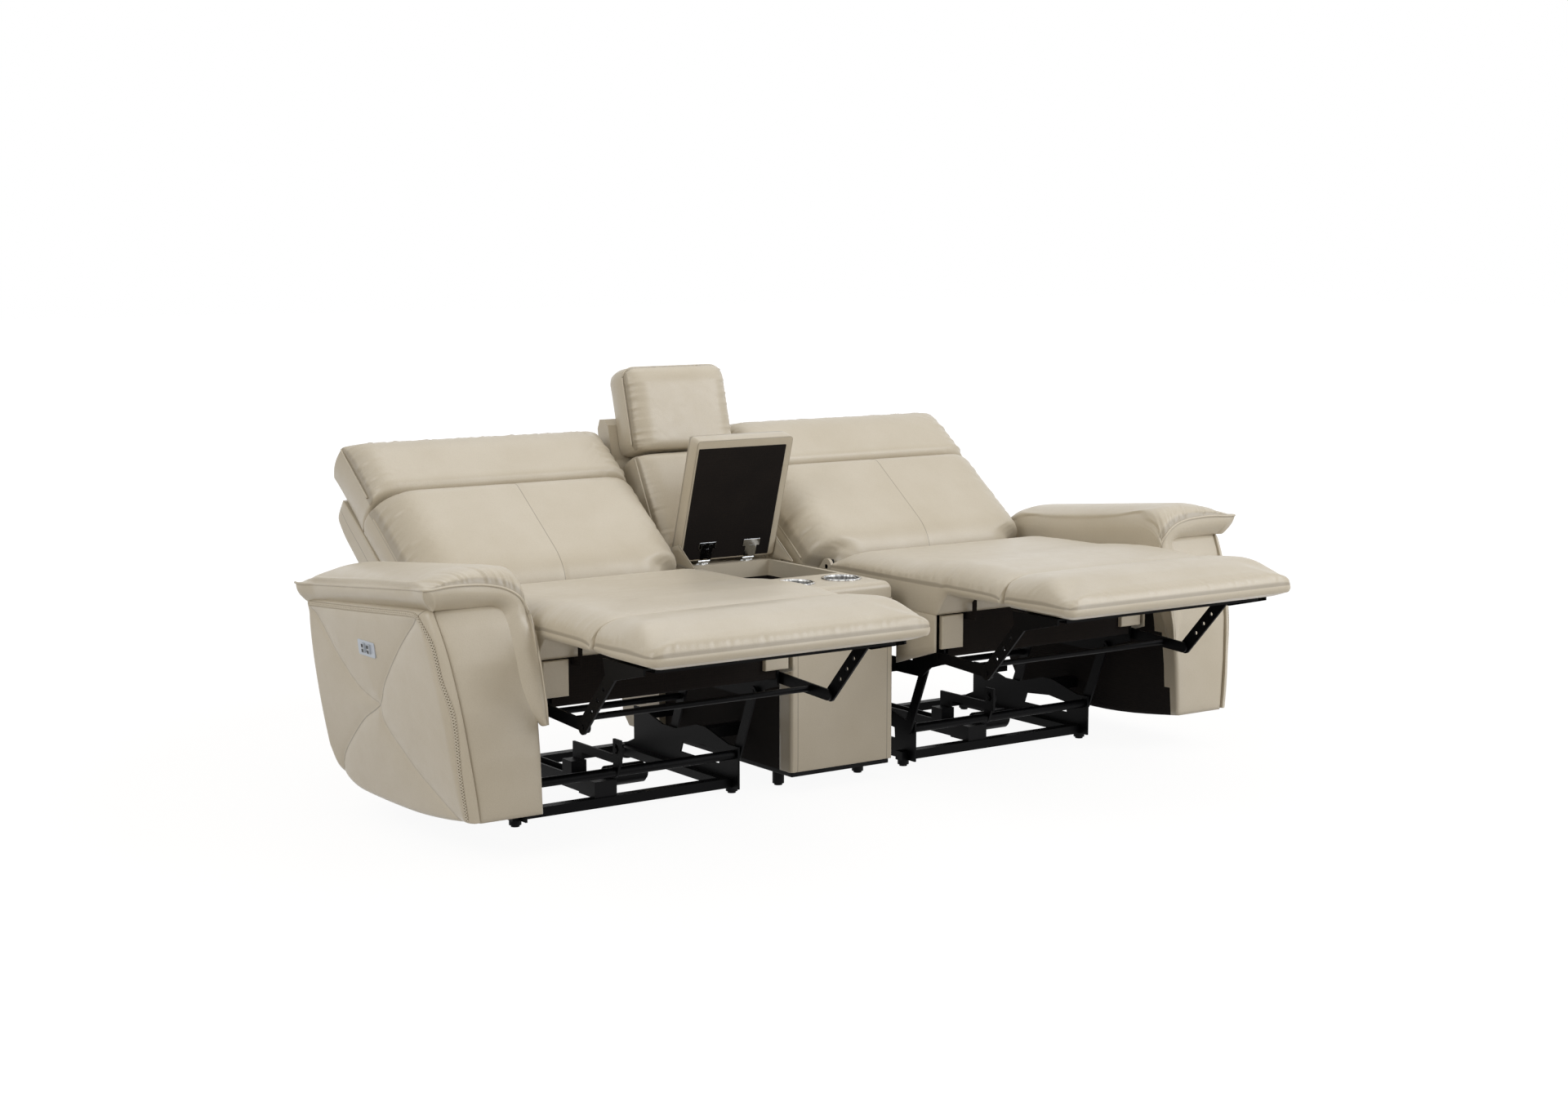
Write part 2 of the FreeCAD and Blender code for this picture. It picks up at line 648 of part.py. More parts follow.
def seat_deck():
    """The wooden seat box in black cloth, with the webbing deck and the legrest rod."""
    outer = box(-DECK_HALF, DECK_HALF, DECK_Y0, DECK_Y1, DECK_Z0, DECK_Z1)
    inner = box(-DECK_HALF + DECK_WALL, DECK_HALF - DECK_WALL, DECK_Y0 + DECK_WALL,
                DECK_Y1 - DECK_WALL, DECK_Z0 - CUT_OVER, DECK_Z1 - DECK_WEB)
    out = [outer.cut(inner)]
    bracket = [
        (DECK_Y0, DECK_Z1 - MID_BRACKET_DEEP),
        (DECK_Y0, DECK_Z1),
        (MID_PIN[0] + MID_BRACKET_BACK, DECK_Z1),
        (MID_PIN[0] + MID_BRACKET_BACK, MID_PIN[1] + MID_BRACKET_EDGE),
        (MID_PIN[0] - MID_BRACKET_EDGE, MID_PIN[1] + MID_BRACKET_EDGE),
        (MID_PIN[0] - MID_BRACKET_EDGE, DECK_Z1 - MID_BRACKET_DEEP),
    ]
    plate = prism(bracket, MID_BRACKET_X - MID_BRACKET_T / 2, MID_BRACKET_X + MID_BRACKET_T / 2)
    out.extend(both_sides(plate))
    rod_half = CHAISE_HALF - MID_ROD_IN
    out.append(rod(MID_ROD_R, MID_PIN[0], MID_PIN[1], -rod_half, rod_half))
    return union(out)


def seat_strips():
    """Leather corner facings at both ends of the seat front."""
    x0 = DECK_HALF - STRIP_IN
    strip = box(x0, x0 + STRIP_W, DECK_Y0 - STRIP_T, DECK_Y0, DECK_Z0 - STRIP_DROP, STRIP_Z1)
    front = [e for e in strip.Edges if abs(e.CenterOfMass.y - DECK_Y0 + STRIP_T) < NEAR]
    return Part.makeCompound(both_sides(strip.makeFillet(STRIP_EDGE, front)))


def seat_cushion():
    """The seat cushion on the deck."""
    return crowned(CHAISE_HALF, CUSHION_Y0, CUSHION_Y1, CUSHION_Z0, CUSHION_SEAM, CUSHION_CROWN,
                   SEAT_CORNER, SEAT_RUN)


def mid_pad():
    """The chaise pad next to the seat, turning on the legrest rod."""
    pad = crowned(CHAISE_HALF, MID_Y0, MID_Y1, PAD_Z0, PAD_SEAM, MID_CROWN, MID_CORNER, MID_RUN)
    x1 = CHAISE_HALF - MID_BARREL_IN
    barrel = rod(MID_BARREL_R, MID_PIN[0], MID_PIN[1], -x1, x1)
    web = box(-x1, x1, MID_Y1 - MID_WEB_LAP, MID_PIN[0], MID_PIN[1] - MID_WEB_DOWN,
              MID_PIN[1] + MID_WEB_UP)
    out = union([pad, barrel, web])
    out = out.cut(rod(MID_ROD_R + RUN_CLEAR, MID_PIN[0], MID_PIN[1], -CHAISE_HALF, CHAISE_HALF))
    half = MID_BRACKET_T / 2 + SIDE_CLEAR
    for sx in (-1.0, 1.0):
        x = sx * MID_BRACKET_X
        slot = box(x - half, x + half, MID_PIN[0] - MID_SLOT_FRONT, MID_PIN[0] + MID_SLOT_BACK,
                   PAD_Z0 - 2.0 * CUT_OVER, PAD_SEAM + MID_SLOT_BACK)
        out = out.cut(slot)
    return out


def foot_pad():
    """The pad under the feet, on its board."""
    return crowned(CHAISE_HALF, FOOT_Y0, FOOT_Y1, PAD_Z0, PAD_SEAM, FOOT_CROWN, FOOT_CORNER, FOOT_RUN)


def leg_links():
    """The upper legrest links, seat to knee, with the spreader between them."""
    x0 = LEG_LINK_X
    x1 = LEG_LINK_X + LINK_T
    link = bar(HIP, KNEE, LEG_LINK_R, x0, x1)
    link = link.cut(rod(PIN_R + RUN_CLEAR, HIP[0], HIP[1], x0 - CUT_OVER, x1 + CUT_OVER))
    pin = rod(PIN_R, KNEE[0], KNEE[1], x1, SHIN_LINK_X + LINK_T + PIN_HEAD)
    mid_y = HIP[0] + SPREADER_SHARE * (KNEE[0] - HIP[0])
    mid_z = HIP[1] + SPREADER_SHARE * (KNEE[1] - HIP[1])
    spreader = rod(SPREADER_R, mid_y, mid_z, -x0, x0)
    return union(both_sides(link.fuse(pin)) + [spreader])


def shin_links():
    """The lower legrest links, knee to foot board, drilled like the real ones."""
    x0 = SHIN_LINK_X
    x1 = SHIN_LINK_X + LINK_T
    link = bar(KNEE, ANKLE, SHIN_LINK_R, x0, x1)
    for point in (KNEE, ANKLE):
        link = link.cut(rod(PIN_R + RUN_CLEAR, point[0], point[1], x0 - CUT_OVER, x1 + CUT_OVER))
    for t in SHIN_HOLE_SHARES:
        y = KNEE[0] + t * (ANKLE[0] - KNEE[0])
        z = KNEE[1] + t * (ANKLE[1] - KNEE[1])
        link = link.cut(rod(SHIN_HOLE_R, y, z, x0 - CUT_OVER, x1 + CUT_OVER))
    return Part.makeCompound(both_sides(link))


def foot_board():
    """The foot pad's board with its two pivot plates."""
    x0 = FOOT_PLATE_X
    x1 = FOOT_PLATE_X + PLATE_T
    front = FOOT_Y0 + FOOT_BOARD_IN
    back = FOOT_Y1 - FOOT_BOARD_BACK
    board = box(-FOOT_BOARD_HALF, FOOT_BOARD_HALF, front, back, PAD_Z0 - FOOT_BOARD_T, PAD_Z0)
    low = ANKLE[1] - FOOT_EAR
    plate = prism([(front, PAD_Z0), (front, PAD_Z0 - FOOT_EAR), (ANKLE[0] - FOOT_EAR, low),
                   (ANKLE[0] + FOOT_EAR, low), (back, PAD_Z0)], x0, x1)
    flange = box(FOOT_BOARD_HALF, x1, front, ANKLE[0] - FOOT_EAR, PAD_Z0 - FOOT_FLANGE_T / 2, PAD_Z0)
    pin = rod(PIN_R, ANKLE[0], ANKLE[1], SHIN_LINK_X - JOIN_CLEAR, x0)
    out = [board]
    for shape in (plate, flange, pin):
        out.extend(both_sides(shape))
    return union(out)


def back_frame():
    """Steel plates from the back's pivot to its shell, with a cross tube."""
    pin = PLATE_PIN
    x0 = LEG_LINK_X
    x1 = LEG_LINK_X + LINK_T
    seat_v = SHELL_V0 - SHELL_GAP
    ear = Part.makeCylinder(BACK_EAR_R, x1 - x0, V(x0, pin[0], pin[1]), X_AXIS)
    neck = prism([side_point(v, w) for v, w in BACK_NECK], x0, x1)
    heel_points = list(BACK_HEEL) + [(seat_v, w) for w in BACK_HEEL_W]
    heel = prism([side_point(v, w) for v, w in heel_points], x0, x1)
    hole = rod(PIN_R + RUN_CLEAR, pin[0], pin[1], x0 - CUT_OVER, x1 + CUT_OVER)
    plate = union([ear, neck, heel]).cut(hole)
    corners = [(seat_v - PLATE_T, FLANGE_W[0]), (seat_v - PLATE_T, FLANGE_W[1]), (seat_v, FLANGE_W[1]),
               (seat_v, FLANGE_W[0])]
    flange = prism([side_point(v, w) for v, w in corners], FLANGE_X0, x0)
    tube_y, tube_z = side_point(BACK_TUBE[0], BACK_TUBE[1])
    tube = rod(BACK_TUBE_R, tube_y, tube_z, -x0, x0)
    return union(both_sides(plate) + both_sides(flange) + [tube])


def back_shell():
    """The leather-covered outer back behind the cushion, lower than the headrest."""
    half = BACK_HALF - SHELL_IN
    profile = [(SHELL_V0, SHELL_W0)] + [(v, SHELL_W0 + w) for v, w in SHELL_CURVE]
    profile += [(SHELL_SHOULDER[0], HEAD_W0 - SHELL_SHOULDER[1]), (SHELL_STEP_V, SHELL_W1),
                (SHELL_V0, SHELL_W1)]
    wire = Part.makePolygon([V(-half, v, w) for v, w in profile + [profile[0]]])
    body = Part.Face(wire).extrude(V(2.0 * half, 0, 0))
    edges = [e for e in body.Edges if abs(abs(e.CenterOfMass.x) - half) < NEAR
             and e.CenterOfMass.z < SHELL_W0 + SHELL_EDGE_W]
    body = body.makeFillet(SHELL_EDGE, edges)
    return sloped(body, BACK_ORIGIN, BACK_ANGLE)


def back_cushion():
    """The back cushion, notched at its lower corners over the back's steel plates."""
    pad = crowned(BACK_HALF, BACK_V0, BACK_V1, BACK_BOX_W, 0.0, BACK_CROWN, BACK_CORNER, BACK_RUN)
    notch = box(NOTCH_X, BACK_HALF + CUT_OVER, BACK_V0 - CUT_OVER, NOTCH_V, BACK_BOX_W - CUT_OVER,
                BACK_CROWN + CUT_OVER)
    for side in both_sides(notch):
        pad = pad.cut(side)
    return sloped(pad, BACK_ORIGIN, BACK_ANGLE)


def headrest():
    """The headrest's pad, before its brackets' slots."""
    pad = crowned(BACK_HALF, HEAD_V0, HEAD_V1, HEAD_W0, HEAD_SEAM_W, HEAD_CROWN, HEAD_CORNER, HEAD_RUN)
    return sloped(pad, BACK_ORIGIN, BACK_ANGLE)


def back_body_nodes():
    """The cushion, the headrest and the ratchet bracket share the hinge line of the headrest."""
    cushion = back_cushion()
    head = headrest()
    pin = side_point(HEAD_PIN[0], HEAD_PIN[1])
    eye = [(HEAD_PIN[0] + v, HEAD_PIN[1] + w) for v, w in HEAD_EYE]
    foot_low, foot_high = HEAD_BRACKET_V
    outline = [(foot_low, BACK_BOX_W), (foot_low, HEAD_BRACKET_BEND)] + eye + [(foot_high, BACK_BOX_W)]
    room_top = eye[0][1] + HEAD_ROOM_OVER
    room_far = eye[1][0] + HEAD_ROOM_PAST
    room_low = BACK_BOX_W - 2.0 * CUT_OVER
    room_outline = [(foot_low - HEAD_CLEAR, room_low),
                    (foot_low - HEAD_CLEAR, HEAD_BRACKET_BEND + HEAD_ROOM_PAST),
                    (eye[0][0] - HEAD_ROOM_OVER, room_top), (room_far, room_top), (room_far, room_low)]
    slot_outline = [(HEAD_SLOT_V[0], HEAD_SLOT_W[0]), (HEAD_SLOT_V[1], HEAD_SLOT_W[0]),
                    (HEAD_SLOT_V[1], HEAD_SLOT_W[1]), (HEAD_SLOT_V[0], HEAD_SLOT_W[1])]
    room_half = HEAD_BRACKET_HALF + HEAD_CLEAR
    for sx in (-1.0, 1.0):
        x = sx * HEAD_BRACKET_X
        foot_a = prism([side_point(v, w) for v, w in outline], x - HEAD_BRACKET_HALF,
                       x + HEAD_BRACKET_HALF)
        room = prism([side_point(v, w) for v, w in room_outline], x - room_half, x + room_half)
        cushion = cushion.cut(room)
        head_room = prism([side_point(v, w) for v, w in slot_outline], x - room_half, x + room_half)
        head = head.cut(head_room)
        pivot = rod(HEAD_PIN_R, pin[0], pin[1], x - HEAD_PIN_HALF, x + HEAD_PIN_HALF)
        bore_half = HEAD_PIN_HALF + SIDE_CLEAR
        bore = rod(HEAD_PIN_R + RUN_CLEAR, pin[0], pin[1], x - bore_half, x + bore_half)
        head = head.cut(bore)
        if sx < 0:
            bracket = foot_a.fuse(pivot)
        else:
            bracket = Part.makeCompound([bracket.removeSplitter(), foot_a.fuse(pivot).removeSplitter()])
    return cushion, head, bracket


def actuator():
    """The lifting motor with its gearbox and the channel that the drive block runs on."""
    channel = box(ACT_X - ACT_HALF, ACT_X + ACT_HALF, ACT_Y0, ACT_Y1, TUBE_Z1, ACT_Z1)
    groove = box(ACT_X - ACT_HALF + ACT_WALL, ACT_X + ACT_HALF - ACT_WALL, ACT_Y0 + ACT_GROOVE[0],
                 ACT_Y1 - ACT_GROOVE[1], TUBE_Z1 + ACT_WALL, ACT_Z1 + CUT_OVER)
    start = ACT_Y0 + SPINDLE_ENDS[0]
    spindle = Part.makeCylinder(SPINDLE_R, ACT_Y1 - SPINDLE_ENDS[1] - start, V(ACT_X, start, SPINDLE_Z),
                                Y_AXIS)
    gear = box(ACT_X + GEAR_X[0], ACT_X + GEAR_X[1], FRONT_TUBE_Y - GEAR_AHEAD, ACT_Y0 + GEAR_BACK,
               TUBE_Z1, ACT_Z1 + GEAR_UP)
    motor_x = ACT_X + GEAR_X[1]
    cap_x = motor_x + MOTOR_LEN
    motor = rod(MOTOR_R, MOTOR_Y, MOTOR_Z, motor_x, cap_x)
    cap = rod(MOTOR_R - MOTOR_CAP_IN, MOTOR_Y, MOTOR_Z, cap_x, cap_x + MOTOR_CAP_LEN)
    return union([channel.cut(groove), gear, motor, cap, spindle])


def drive_block():
    """The block on the channel with the slotted arm that moves the lever's pin."""
    x0 = ACT_X + YOKE_X[0]
    x1 = ACT_X + YOKE_X[1]
    y0 = LEVER_TOP[0] - YOKE_HALF
    block = box(ACT_X - ACT_HALF, ACT_X + ACT_HALF, BLOCK_Y0, BLOCK_Y1, ACT_Z1 + JOIN_CLEAR, BLOCK_Z1)
    post = box(x0, x1, BLOCK_Y0, BLOCK_Y1, BLOCK_Z1 - YOKE_LAP, YOKE_Z1)
    reach = box(x0, x1, y0, BLOCK_Y1, YOKE_Z0, YOKE_Z1)
    eye = box(x0, x1, y0, LEVER_TOP[0] + YOKE_HALF, YOKE_Z0, YOKE_TOP)
    slot_r = LEVER_PIN_R + YOKE_CLEAR
    slot = box(ACT_X, ACT_X + ACT_HALF, LEVER_TOP[0] - slot_r, LEVER_TOP[0] + slot_r, YOKE_SLOT_Z[0],
               YOKE_SLOT_Z[1])
    return union([block, post, reach, eye]).cut(slot)


def console_body():
    """The console box: leather over a wooden carcass, open over the storage well and the cups."""
    body = box(-CONSOLE_HALF, CONSOLE_HALF, CONSOLE_Y0, CONSOLE_Y1, CONSOLE_Z0, CONSOLE_Z1)
    well = box(-STORE_HALF, STORE_HALF, STORE_Y0, STORE_Y1, STORE_Z0, CONSOLE_Z1 + CUT_OVER)
    under = box(-CONSOLE_HALF + CONSOLE_WALL, CONSOLE_HALF - CONSOLE_WALL,
                CONSOLE_Y0 + CONSOLE_WALL, CONSOLE_Y1 - CONSOLE_WALL, CONSOLE_Z0 - CUT_OVER,
                STORE_Z0 - STORE_FLOOR_T)
    body = body.cut(well).cut(under)
    bore_z = CONSOLE_Z1 + TOP_PAD_T - CUP_DEPTH - CUP_ROOM
    for sx in (-1.0, 1.0):
        body = body.cut(Part.makeCylinder(CUP_R + CUP_WALL + CUP_CLEAR, CONSOLE_Z1 + CUT_OVER - bore_z,
                                          V(sx * CUP_X, CUP_Y, bore_z)))
    return body.makeFillet(CONSOLE_CORNER, front_corners(body))


def front_corners(body):
    """The console's two upright front edges."""
    return [e for e in body.Edges if abs(e.CenterOfMass.y - CONSOLE_Y0) < NEAR
            and abs(abs(e.CenterOfMass.x) - CONSOLE_HALF) < NEAR]


def console_top():
    """The padded leather top with rounded edges around the well and the cup holders."""
    z1 = CONSOLE_Z1 + TOP_PAD_T
    pad = box(-CONSOLE_HALF, CONSOLE_HALF, CONSOLE_Y0, LID_PIN[0] + TOP_PAD_BACK, CONSOLE_Z1, z1)
    pad = pad.makeFillet(CONSOLE_CORNER, front_corners(pad))
    rim = [e for e in pad.Edges if abs(e.CenterOfMass.z - z1) < NEAR
           and e.CenterOfMass.y < LID_PIN[0] + TOP_PAD_BACK - NEAR]
    pad = pad.makeFillet(TOP_PAD_EDGE, rim)
    pad = pad.cut(box(-STORE_HALF, STORE_HALF, STORE_Y0, STORE_Y1, CONSOLE_Z1 - CUT_OVER, z1 + CUT_OVER))
    for sx in (-1.0, 1.0):
        pad = pad.cut(Part.makeCylinder(CUP_R + CUP_WALL + CUP_CLEAR, TOP_PAD_T + 2.0 * CUT_OVER,
                                        V(sx * CUP_X, CUP_Y, CONSOLE_Z1 - CUT_OVER)))
    return pad


def cup_holder(sx):
    """One spun cup that hangs by its rim."""
    z1 = CONSOLE_Z1 + TOP_PAD_T
    origin = V(sx * CUP_X, CUP_Y, z1 - CUP_DEPTH)
    cup = Part.makeCylinder(CUP_R + CUP_WALL, CUP_DEPTH, origin)
    rim = Part.makeCone(CUP_RIM_R, CUP_RIM_R - CUP_RIM_SLOPE, CUP_RIM_T, V(sx * CUP_X, CUP_Y, z1))
    hollow = Part.makeCylinder(CUP_R, CUP_DEPTH + CUP_RIM_T,
                               V(sx * CUP_X, CUP_Y, z1 - CUP_DEPTH + CUP_WALL))
    return cup.fuse(rim).removeSplitter().cut(hollow)


def console_back():
    """The lower cushion, the head roll and the shell of the fixed console back."""
    low = crowned(CB_HALF, 0.0, CB_LOW_LEN, -CB_BOX, 0.0, CB_CROWN, CB_CORNER, CB_RUN)
    low = sloped(low, CB_LOW_ORIGIN, CB_LOW_ANGLE)
    roll = crowned(CB_HALF, 0.0, CB_ROLL_LEN, -CB_ROLL_BOX, 0.0, CB_ROLL_CROWN, CB_ROLL_CORNER, CB_RUN)
    roll = sloped(roll, CB_ROLL_ORIGIN, CB_ROLL_ANGLE)
    low = low.cut(roll)
    low = low.cut(box(-CB_HALF, CB_HALF, 0, CONSOLE_Y1 + CUT_FAR, 0, CONSOLE_Z1 + TOP_PAD_T + JOIN_CLEAR))
    front = CONSOLE_Y1 + CB_SHELL_GAP
    profile = ((front, CONSOLE_Z0), (front, CB_SHELL_SEAT_Z)) + CB_SHELL_PROFILE
    shell = prism(profile, -CB_SHELL_HALF, CB_SHELL_HALF)
    shell = shell.cut(low).cut(roll)
    return low, roll, shell


def lid_shut():
    """The lid's parts with the lid shut: upholstered board, lining and hinge leaves."""
    board = box(-LID_HALF, LID_HALF, LID_Y0, LID_Y1, LID_Z0, LID_Z1)
    top = [e for e in board.Edges if abs(e.CenterOfMass.z - LID_Z1) < NEAR]
    board = board.makeFillet(LID_EDGE, top)
    lining = box(-LINING_HALF, LINING_HALF, LID_Y0 + LINING_IN, LID_Y1 - LINING_BACK, LID_Z0,
                 LID_Z0 + LINING_T)
    board = board.cut(lining)
    leaves = []
    arm_top = LID_PIN[1] + HINGE_LEAF_T
    for sx in (-1.0, 1.0):
        x = sx * HINGE_X
        for x0, x1 in ((x - HINGE_HALF, x - HINGE_HALF / 3), (x + HINGE_HALF / 3, x + HINGE_HALF)):
            a = x0 + KNUCKLE_CLEAR
            b = x1 - KNUCKLE_CLEAR
            knuckle = rod(HINGE_R, LID_PIN[0], LID_PIN[1], a, b)
            knuckle = knuckle.cut(rod(HINGE_PIN_R + RUN_CLEAR, LID_PIN[0], LID_PIN[1], x0, x1))
            arm = box(a, b, LID_Y1 + KNUCKLE_CLEAR, LID_PIN[0] - HINGE_ARM_END, LID_PIN[1] - HINGE_LEAF_T,
                      arm_top)
            side = box(a, b, LID_Y1, LID_Y1 + HINGE_SIDE_T, LID_Z0 - HINGE_LEAF_T, arm_top)
            tail = box(a, b, LID_Y1 - HINGE_TAIL, LID_Y1 + HINGE_SIDE_T, LID_Z0 - HINGE_LEAF_T, LID_Z0)
            leaves.append(union([knuckle, arm, side, tail]))
    return board, lining, Part.makeCompound(leaves)


def lid_hinge_bases():
    """The fixed hinge leaves on the console rim, each with its pin and middle knuckle."""
    z1 = CONSOLE_Z1 + TOP_PAD_T
    out = []
    for sx in (-1.0, 1.0):
        x = sx * HINGE_X
        x0 = x - HINGE_HALF / 3 + KNUCKLE_CLEAR
        x1 = x + HINGE_HALF / 3 - KNUCKLE_CLEAR
        knuckle = rod(HINGE_R, LID_PIN[0], LID_PIN[1], x0, x1)
        pin = rod(HINGE_PIN_R, LID_PIN[0], LID_PIN[1], x - HINGE_HALF, x + HINGE_HALF)
        post = box(x0, x1, LID_PIN[0] + HINGE_POST[0], LID_PIN[0] + HINGE_POST[1], z1, LID_PIN[1])
        plate = box(x - HINGE_HALF, x + HINGE_HALF, LID_PIN[0] + HINGE_PLATE[0],
                    LID_PIN[0] + HINGE_PLATE[1], z1, z1 + HINGE_LEAF_T)
        out.append(union([knuckle, pin, post, plate]))
    return Part.makeCompound(out)


def arcs(points, x0):
    """Arcs through each three side-view points in turn, end to end."""
    at = [V(x0, y, z) for y, z in points]
    return [Part.Arc(at[i], at[i + 1], at[i + 2]).toShape() for i in range(0, len(at) - 2, 2)]


def smooth_side(points_front, points_rear, points_under, x0, x1):
    """The arm's side outline with curved front and underside, carried from x0 to x1."""
    top = Part.makeLine(V(x0, points_front[-1][0], points_front[-1][1]),
                        V(x0, points_rear[0][0], points_rear[0][1]))
    under = [points_rear[-1]] + list(points_under) + [points_front[0]]
    edges = arcs(points_front, x0) + [top] + arcs(points_rear, x0) + arcs(under, x0)
    wire = Part.Wire(edges)
    return Part.Face(wire).extrude(V(x1 - x0, 0, 0))


def lean(shape):
    """Tips a flat panel outwards at the top by the arm's lean."""
    out = shape.copy()
    out.rotate(V(WING_FOOT_X, 0, WING_FOOT_Z), Y_AXIS, ARM_LEAN)
    return out


def arm_wing():
    """The quilted outer side panel."""
    x1 = WING_FOOT_X
    slab = smooth_side(WING_FRONT, WING_REAR, WING_UNDER, x1 - WING_T, x1)
    outer = [e for e in slab.Edges if abs(e.CenterOfMass.x - x1) < NEAR]
    slab = slab.makeFillet(WING_EDGE, outer)
    return lean(slab)


def core_side(inset):
    """The arm box's front and rear outlines, set in from the side panel's."""
    front = [(y + CORE_BACK + inset, z) for y, z in WING_FRONT]
    rear = [(y - CORE_BACK - inset, z) for y, z in WING_REAR]
    return front, rear


def arm_core():
    """The arm's box: front face, inner side, rear and the ledge under the pad."""
    front, rear = core_side(0.0)
    reach = WING_FOOT_X + CUT_FAR
    outer = smooth_side(front, rear, WING_UNDER, ARM_INNER, reach)
    front_in, rear_in = core_side(CORE_WALL)
    front_in = [(y, z - CORE_WALL) for y, z in front_in]
    rear_in = [(y, z - CORE_WALL) for y, z in rear_in]
    under_in = [(y, z - CORE_WALL - CORE_SAG) for y, z in WING_UNDER]
    inner = smooth_side(front_in, rear_in, under_in, ARM_INNER + CORE_WALL, reach)
    beyond = arm_room(WING_FOOT_X - WING_T)
    wall = arm_room(WING_FOOT_X - WING_T - CORE_WALL)
    return outer.cut(beyond).cut(inner.cut(wall))


def arm_room(x0):
    """All that lies outside a plane that leans with the arm."""
    front = WING_FRONT[0][0] - CUT_FAR
    back = WING_REAR[0][0] + CUT_FAR
    return lean(box(x0, x0 + 2.0 * CUT_FAR, front, back, -CUT_FAR, PAD_BASE_Z + CUT_FAR))


def pad_section(y, grow, drop):
    """The pad's closed outline at one station along the arm."""
    zb = PAD_BASE_Z - PAD_SLOPE * y
    points = [(ARM_INNER + x + out * grow, zb + rise - share * drop) for x, rise, out, share in PAD_SECTION]
    at = [V(x, y, z) for x, z in points]
    edges = [Part.Arc(at[i], at[i + 1], at[(i + 2) % len(at)]).toShape() for i in range(0, len(at), 2)]
    return Part.Wire(edges)


def arm_pad():
    """The pillow on the arm, with the facing that wraps down the front inner corner."""
    pillow = Part.makeLoft([pad_section(y, g, d) for y, g, d in PAD_STATIONS], True, True)
    inner = ARM_INNER - FLAP_IN
    front, rear = core_side(0.0)
    wrap_front = [(y - FLAP_T, z) for y, z in front]
    ahead = smooth_side(wrap_front, rear, WING_UNDER, inner, PAD_TIP_X)
    start = WING_FRONT[0][0] - CUT_FAR
    corner = V(inner, start, FLAP_TOP_Z)
    outline = [corner] + [V(ARM_INNER + x, start, z) for x, z in FLAP_FACE] + [corner]
    wedge = Part.Face(Part.makePolygon(outline)).extrude(V(0, FLAP_BACK - start, 0))
    strip = box(inner, ARM_INNER, FLAP_STRIP_Y, FLAP_BACK, 0, FLAP_TOP_Z)
    flap = wedge.common(ahead.fuse(strip))
    flap = flap.cut(smooth_side(front, rear, WING_UNDER, ARM_INNER, PAD_TIP_X))
    pillow = pillow.fuse(flap)
    pillow = pillow.cut(arm_core()).cut(arm_wing())
    return max(pillow.Solids, key=lambda solid: solid.Volume)


def switch_parts():
    """The plate on the outer panel with two push buttons in its windows."""
    x1 = WING_FOOT_X
    y0 = SWITCH_Y - SWITCH_LEN / 2
    z0 = SWITCH_Z - SWITCH_H / 2
    plate = box(x1, x1 + SWITCH_T, y0, y0 + SWITCH_LEN, z0, z0 + SWITCH_H)
    corners = [e for e in plate.Edges if abs(e.CenterOfMass.x - x1 - SWITCH_T / 2) < NEAR]
    plate = plate.makeFillet(SWITCH_CORNER, corners)
    buttons = []
    for dy in (-BUTTON_PITCH / 2, BUTTON_PITCH / 2):
        yb = SWITCH_Y + dy - BUTTON_LEN / 2
        zb = SWITCH_Z - BUTTON_H / 2
        room = box(x1 - CUT_OVER, x1 + SWITCH_T + CUT_OVER, yb - BUTTON_CLEAR,
                   yb + BUTTON_LEN + BUTTON_CLEAR, zb - BUTTON_CLEAR, zb + BUTTON_H + BUTTON_CLEAR)
        plate = plate.cut(room)
        top = x1 + BUTTON_TRAVEL + BUTTON_T
        button = box(x1 + BUTTON_TRAVEL + JOIN_CLEAR, top, yb, yb + BUTTON_LEN, zb, zb + BUTTON_H)
        outer = [e for e in button.Edges if abs(e.CenterOfMass.x - top) < NEAR]
        buttons.append(lean(button.makeFillet(BUTTON_EDGE, outer)))
    return lean(plate), buttons[0], buttons[1]


def emit(name, shape):
    """Moves a shape to the shared frame and writes its file."""
    out = shape.copy()
    out.translate(V(0, FRAME_Y, 0))
    out.exportStep("parts/%s.step" % name)


def at_seat(shape, sx):
    """A copy at one seat's middle."""
    out = shape.copy()
    out.translate(V(sx * SEAT_X, 0, 0))
    return out


def seat_nodes(side, sx):
    """One seat with its mechanism; only its base frame differs between the sides."""
    cushion, head, bracket = back_body_nodes()
    plain = {
        "front_links": front_links(),
        "rear_links": rear_links(),
        "seat_frame": seat_frame(),
        "seat_deck": seat_deck(),
        "seat_strips": seat_strips(),
        "seat_cushion": seat_cushion(),
        "mid_pad": mid_pad(),
        "foot_pad": foot_pad(),
        "foot_board": foot_board(),
        "leg_links": leg_links(),
        "shin_links": shin_links(),
        "back_frame": back_frame(),
        "back_shell": back_shell(),
        "back_cushion": cushion,
        "head_brackets": bracket,
        "headrest": head,
        "actuator": actuator(),
        "drive_block": drive_block(),
    }
    for name, shape in plain.items():
        emit("%s_%s" % (name, side), at_seat(shape, sx))
    frame = base_frame()
    if sx < 0:
        frame = mirrored(frame)
    emit("base_frame_%s" % side, at_seat(frame, sx))


def arm_nodes():
    """Both arms with their switches."""
    plate, button_a, button_b = switch_parts()
    shapes = {"arm_core": arm_core(), "arm_wing": arm_wing(), "arm_pad": arm_pad(),
              "button_front": button_a, "button_rear": button_b}
    for name, shape in shapes.items():
        emit(name + "_right", shape)
        emit(name + "_left", mirrored(shape))
    emit("switch_plates", Part.makeCompound(both_sides(plate)))


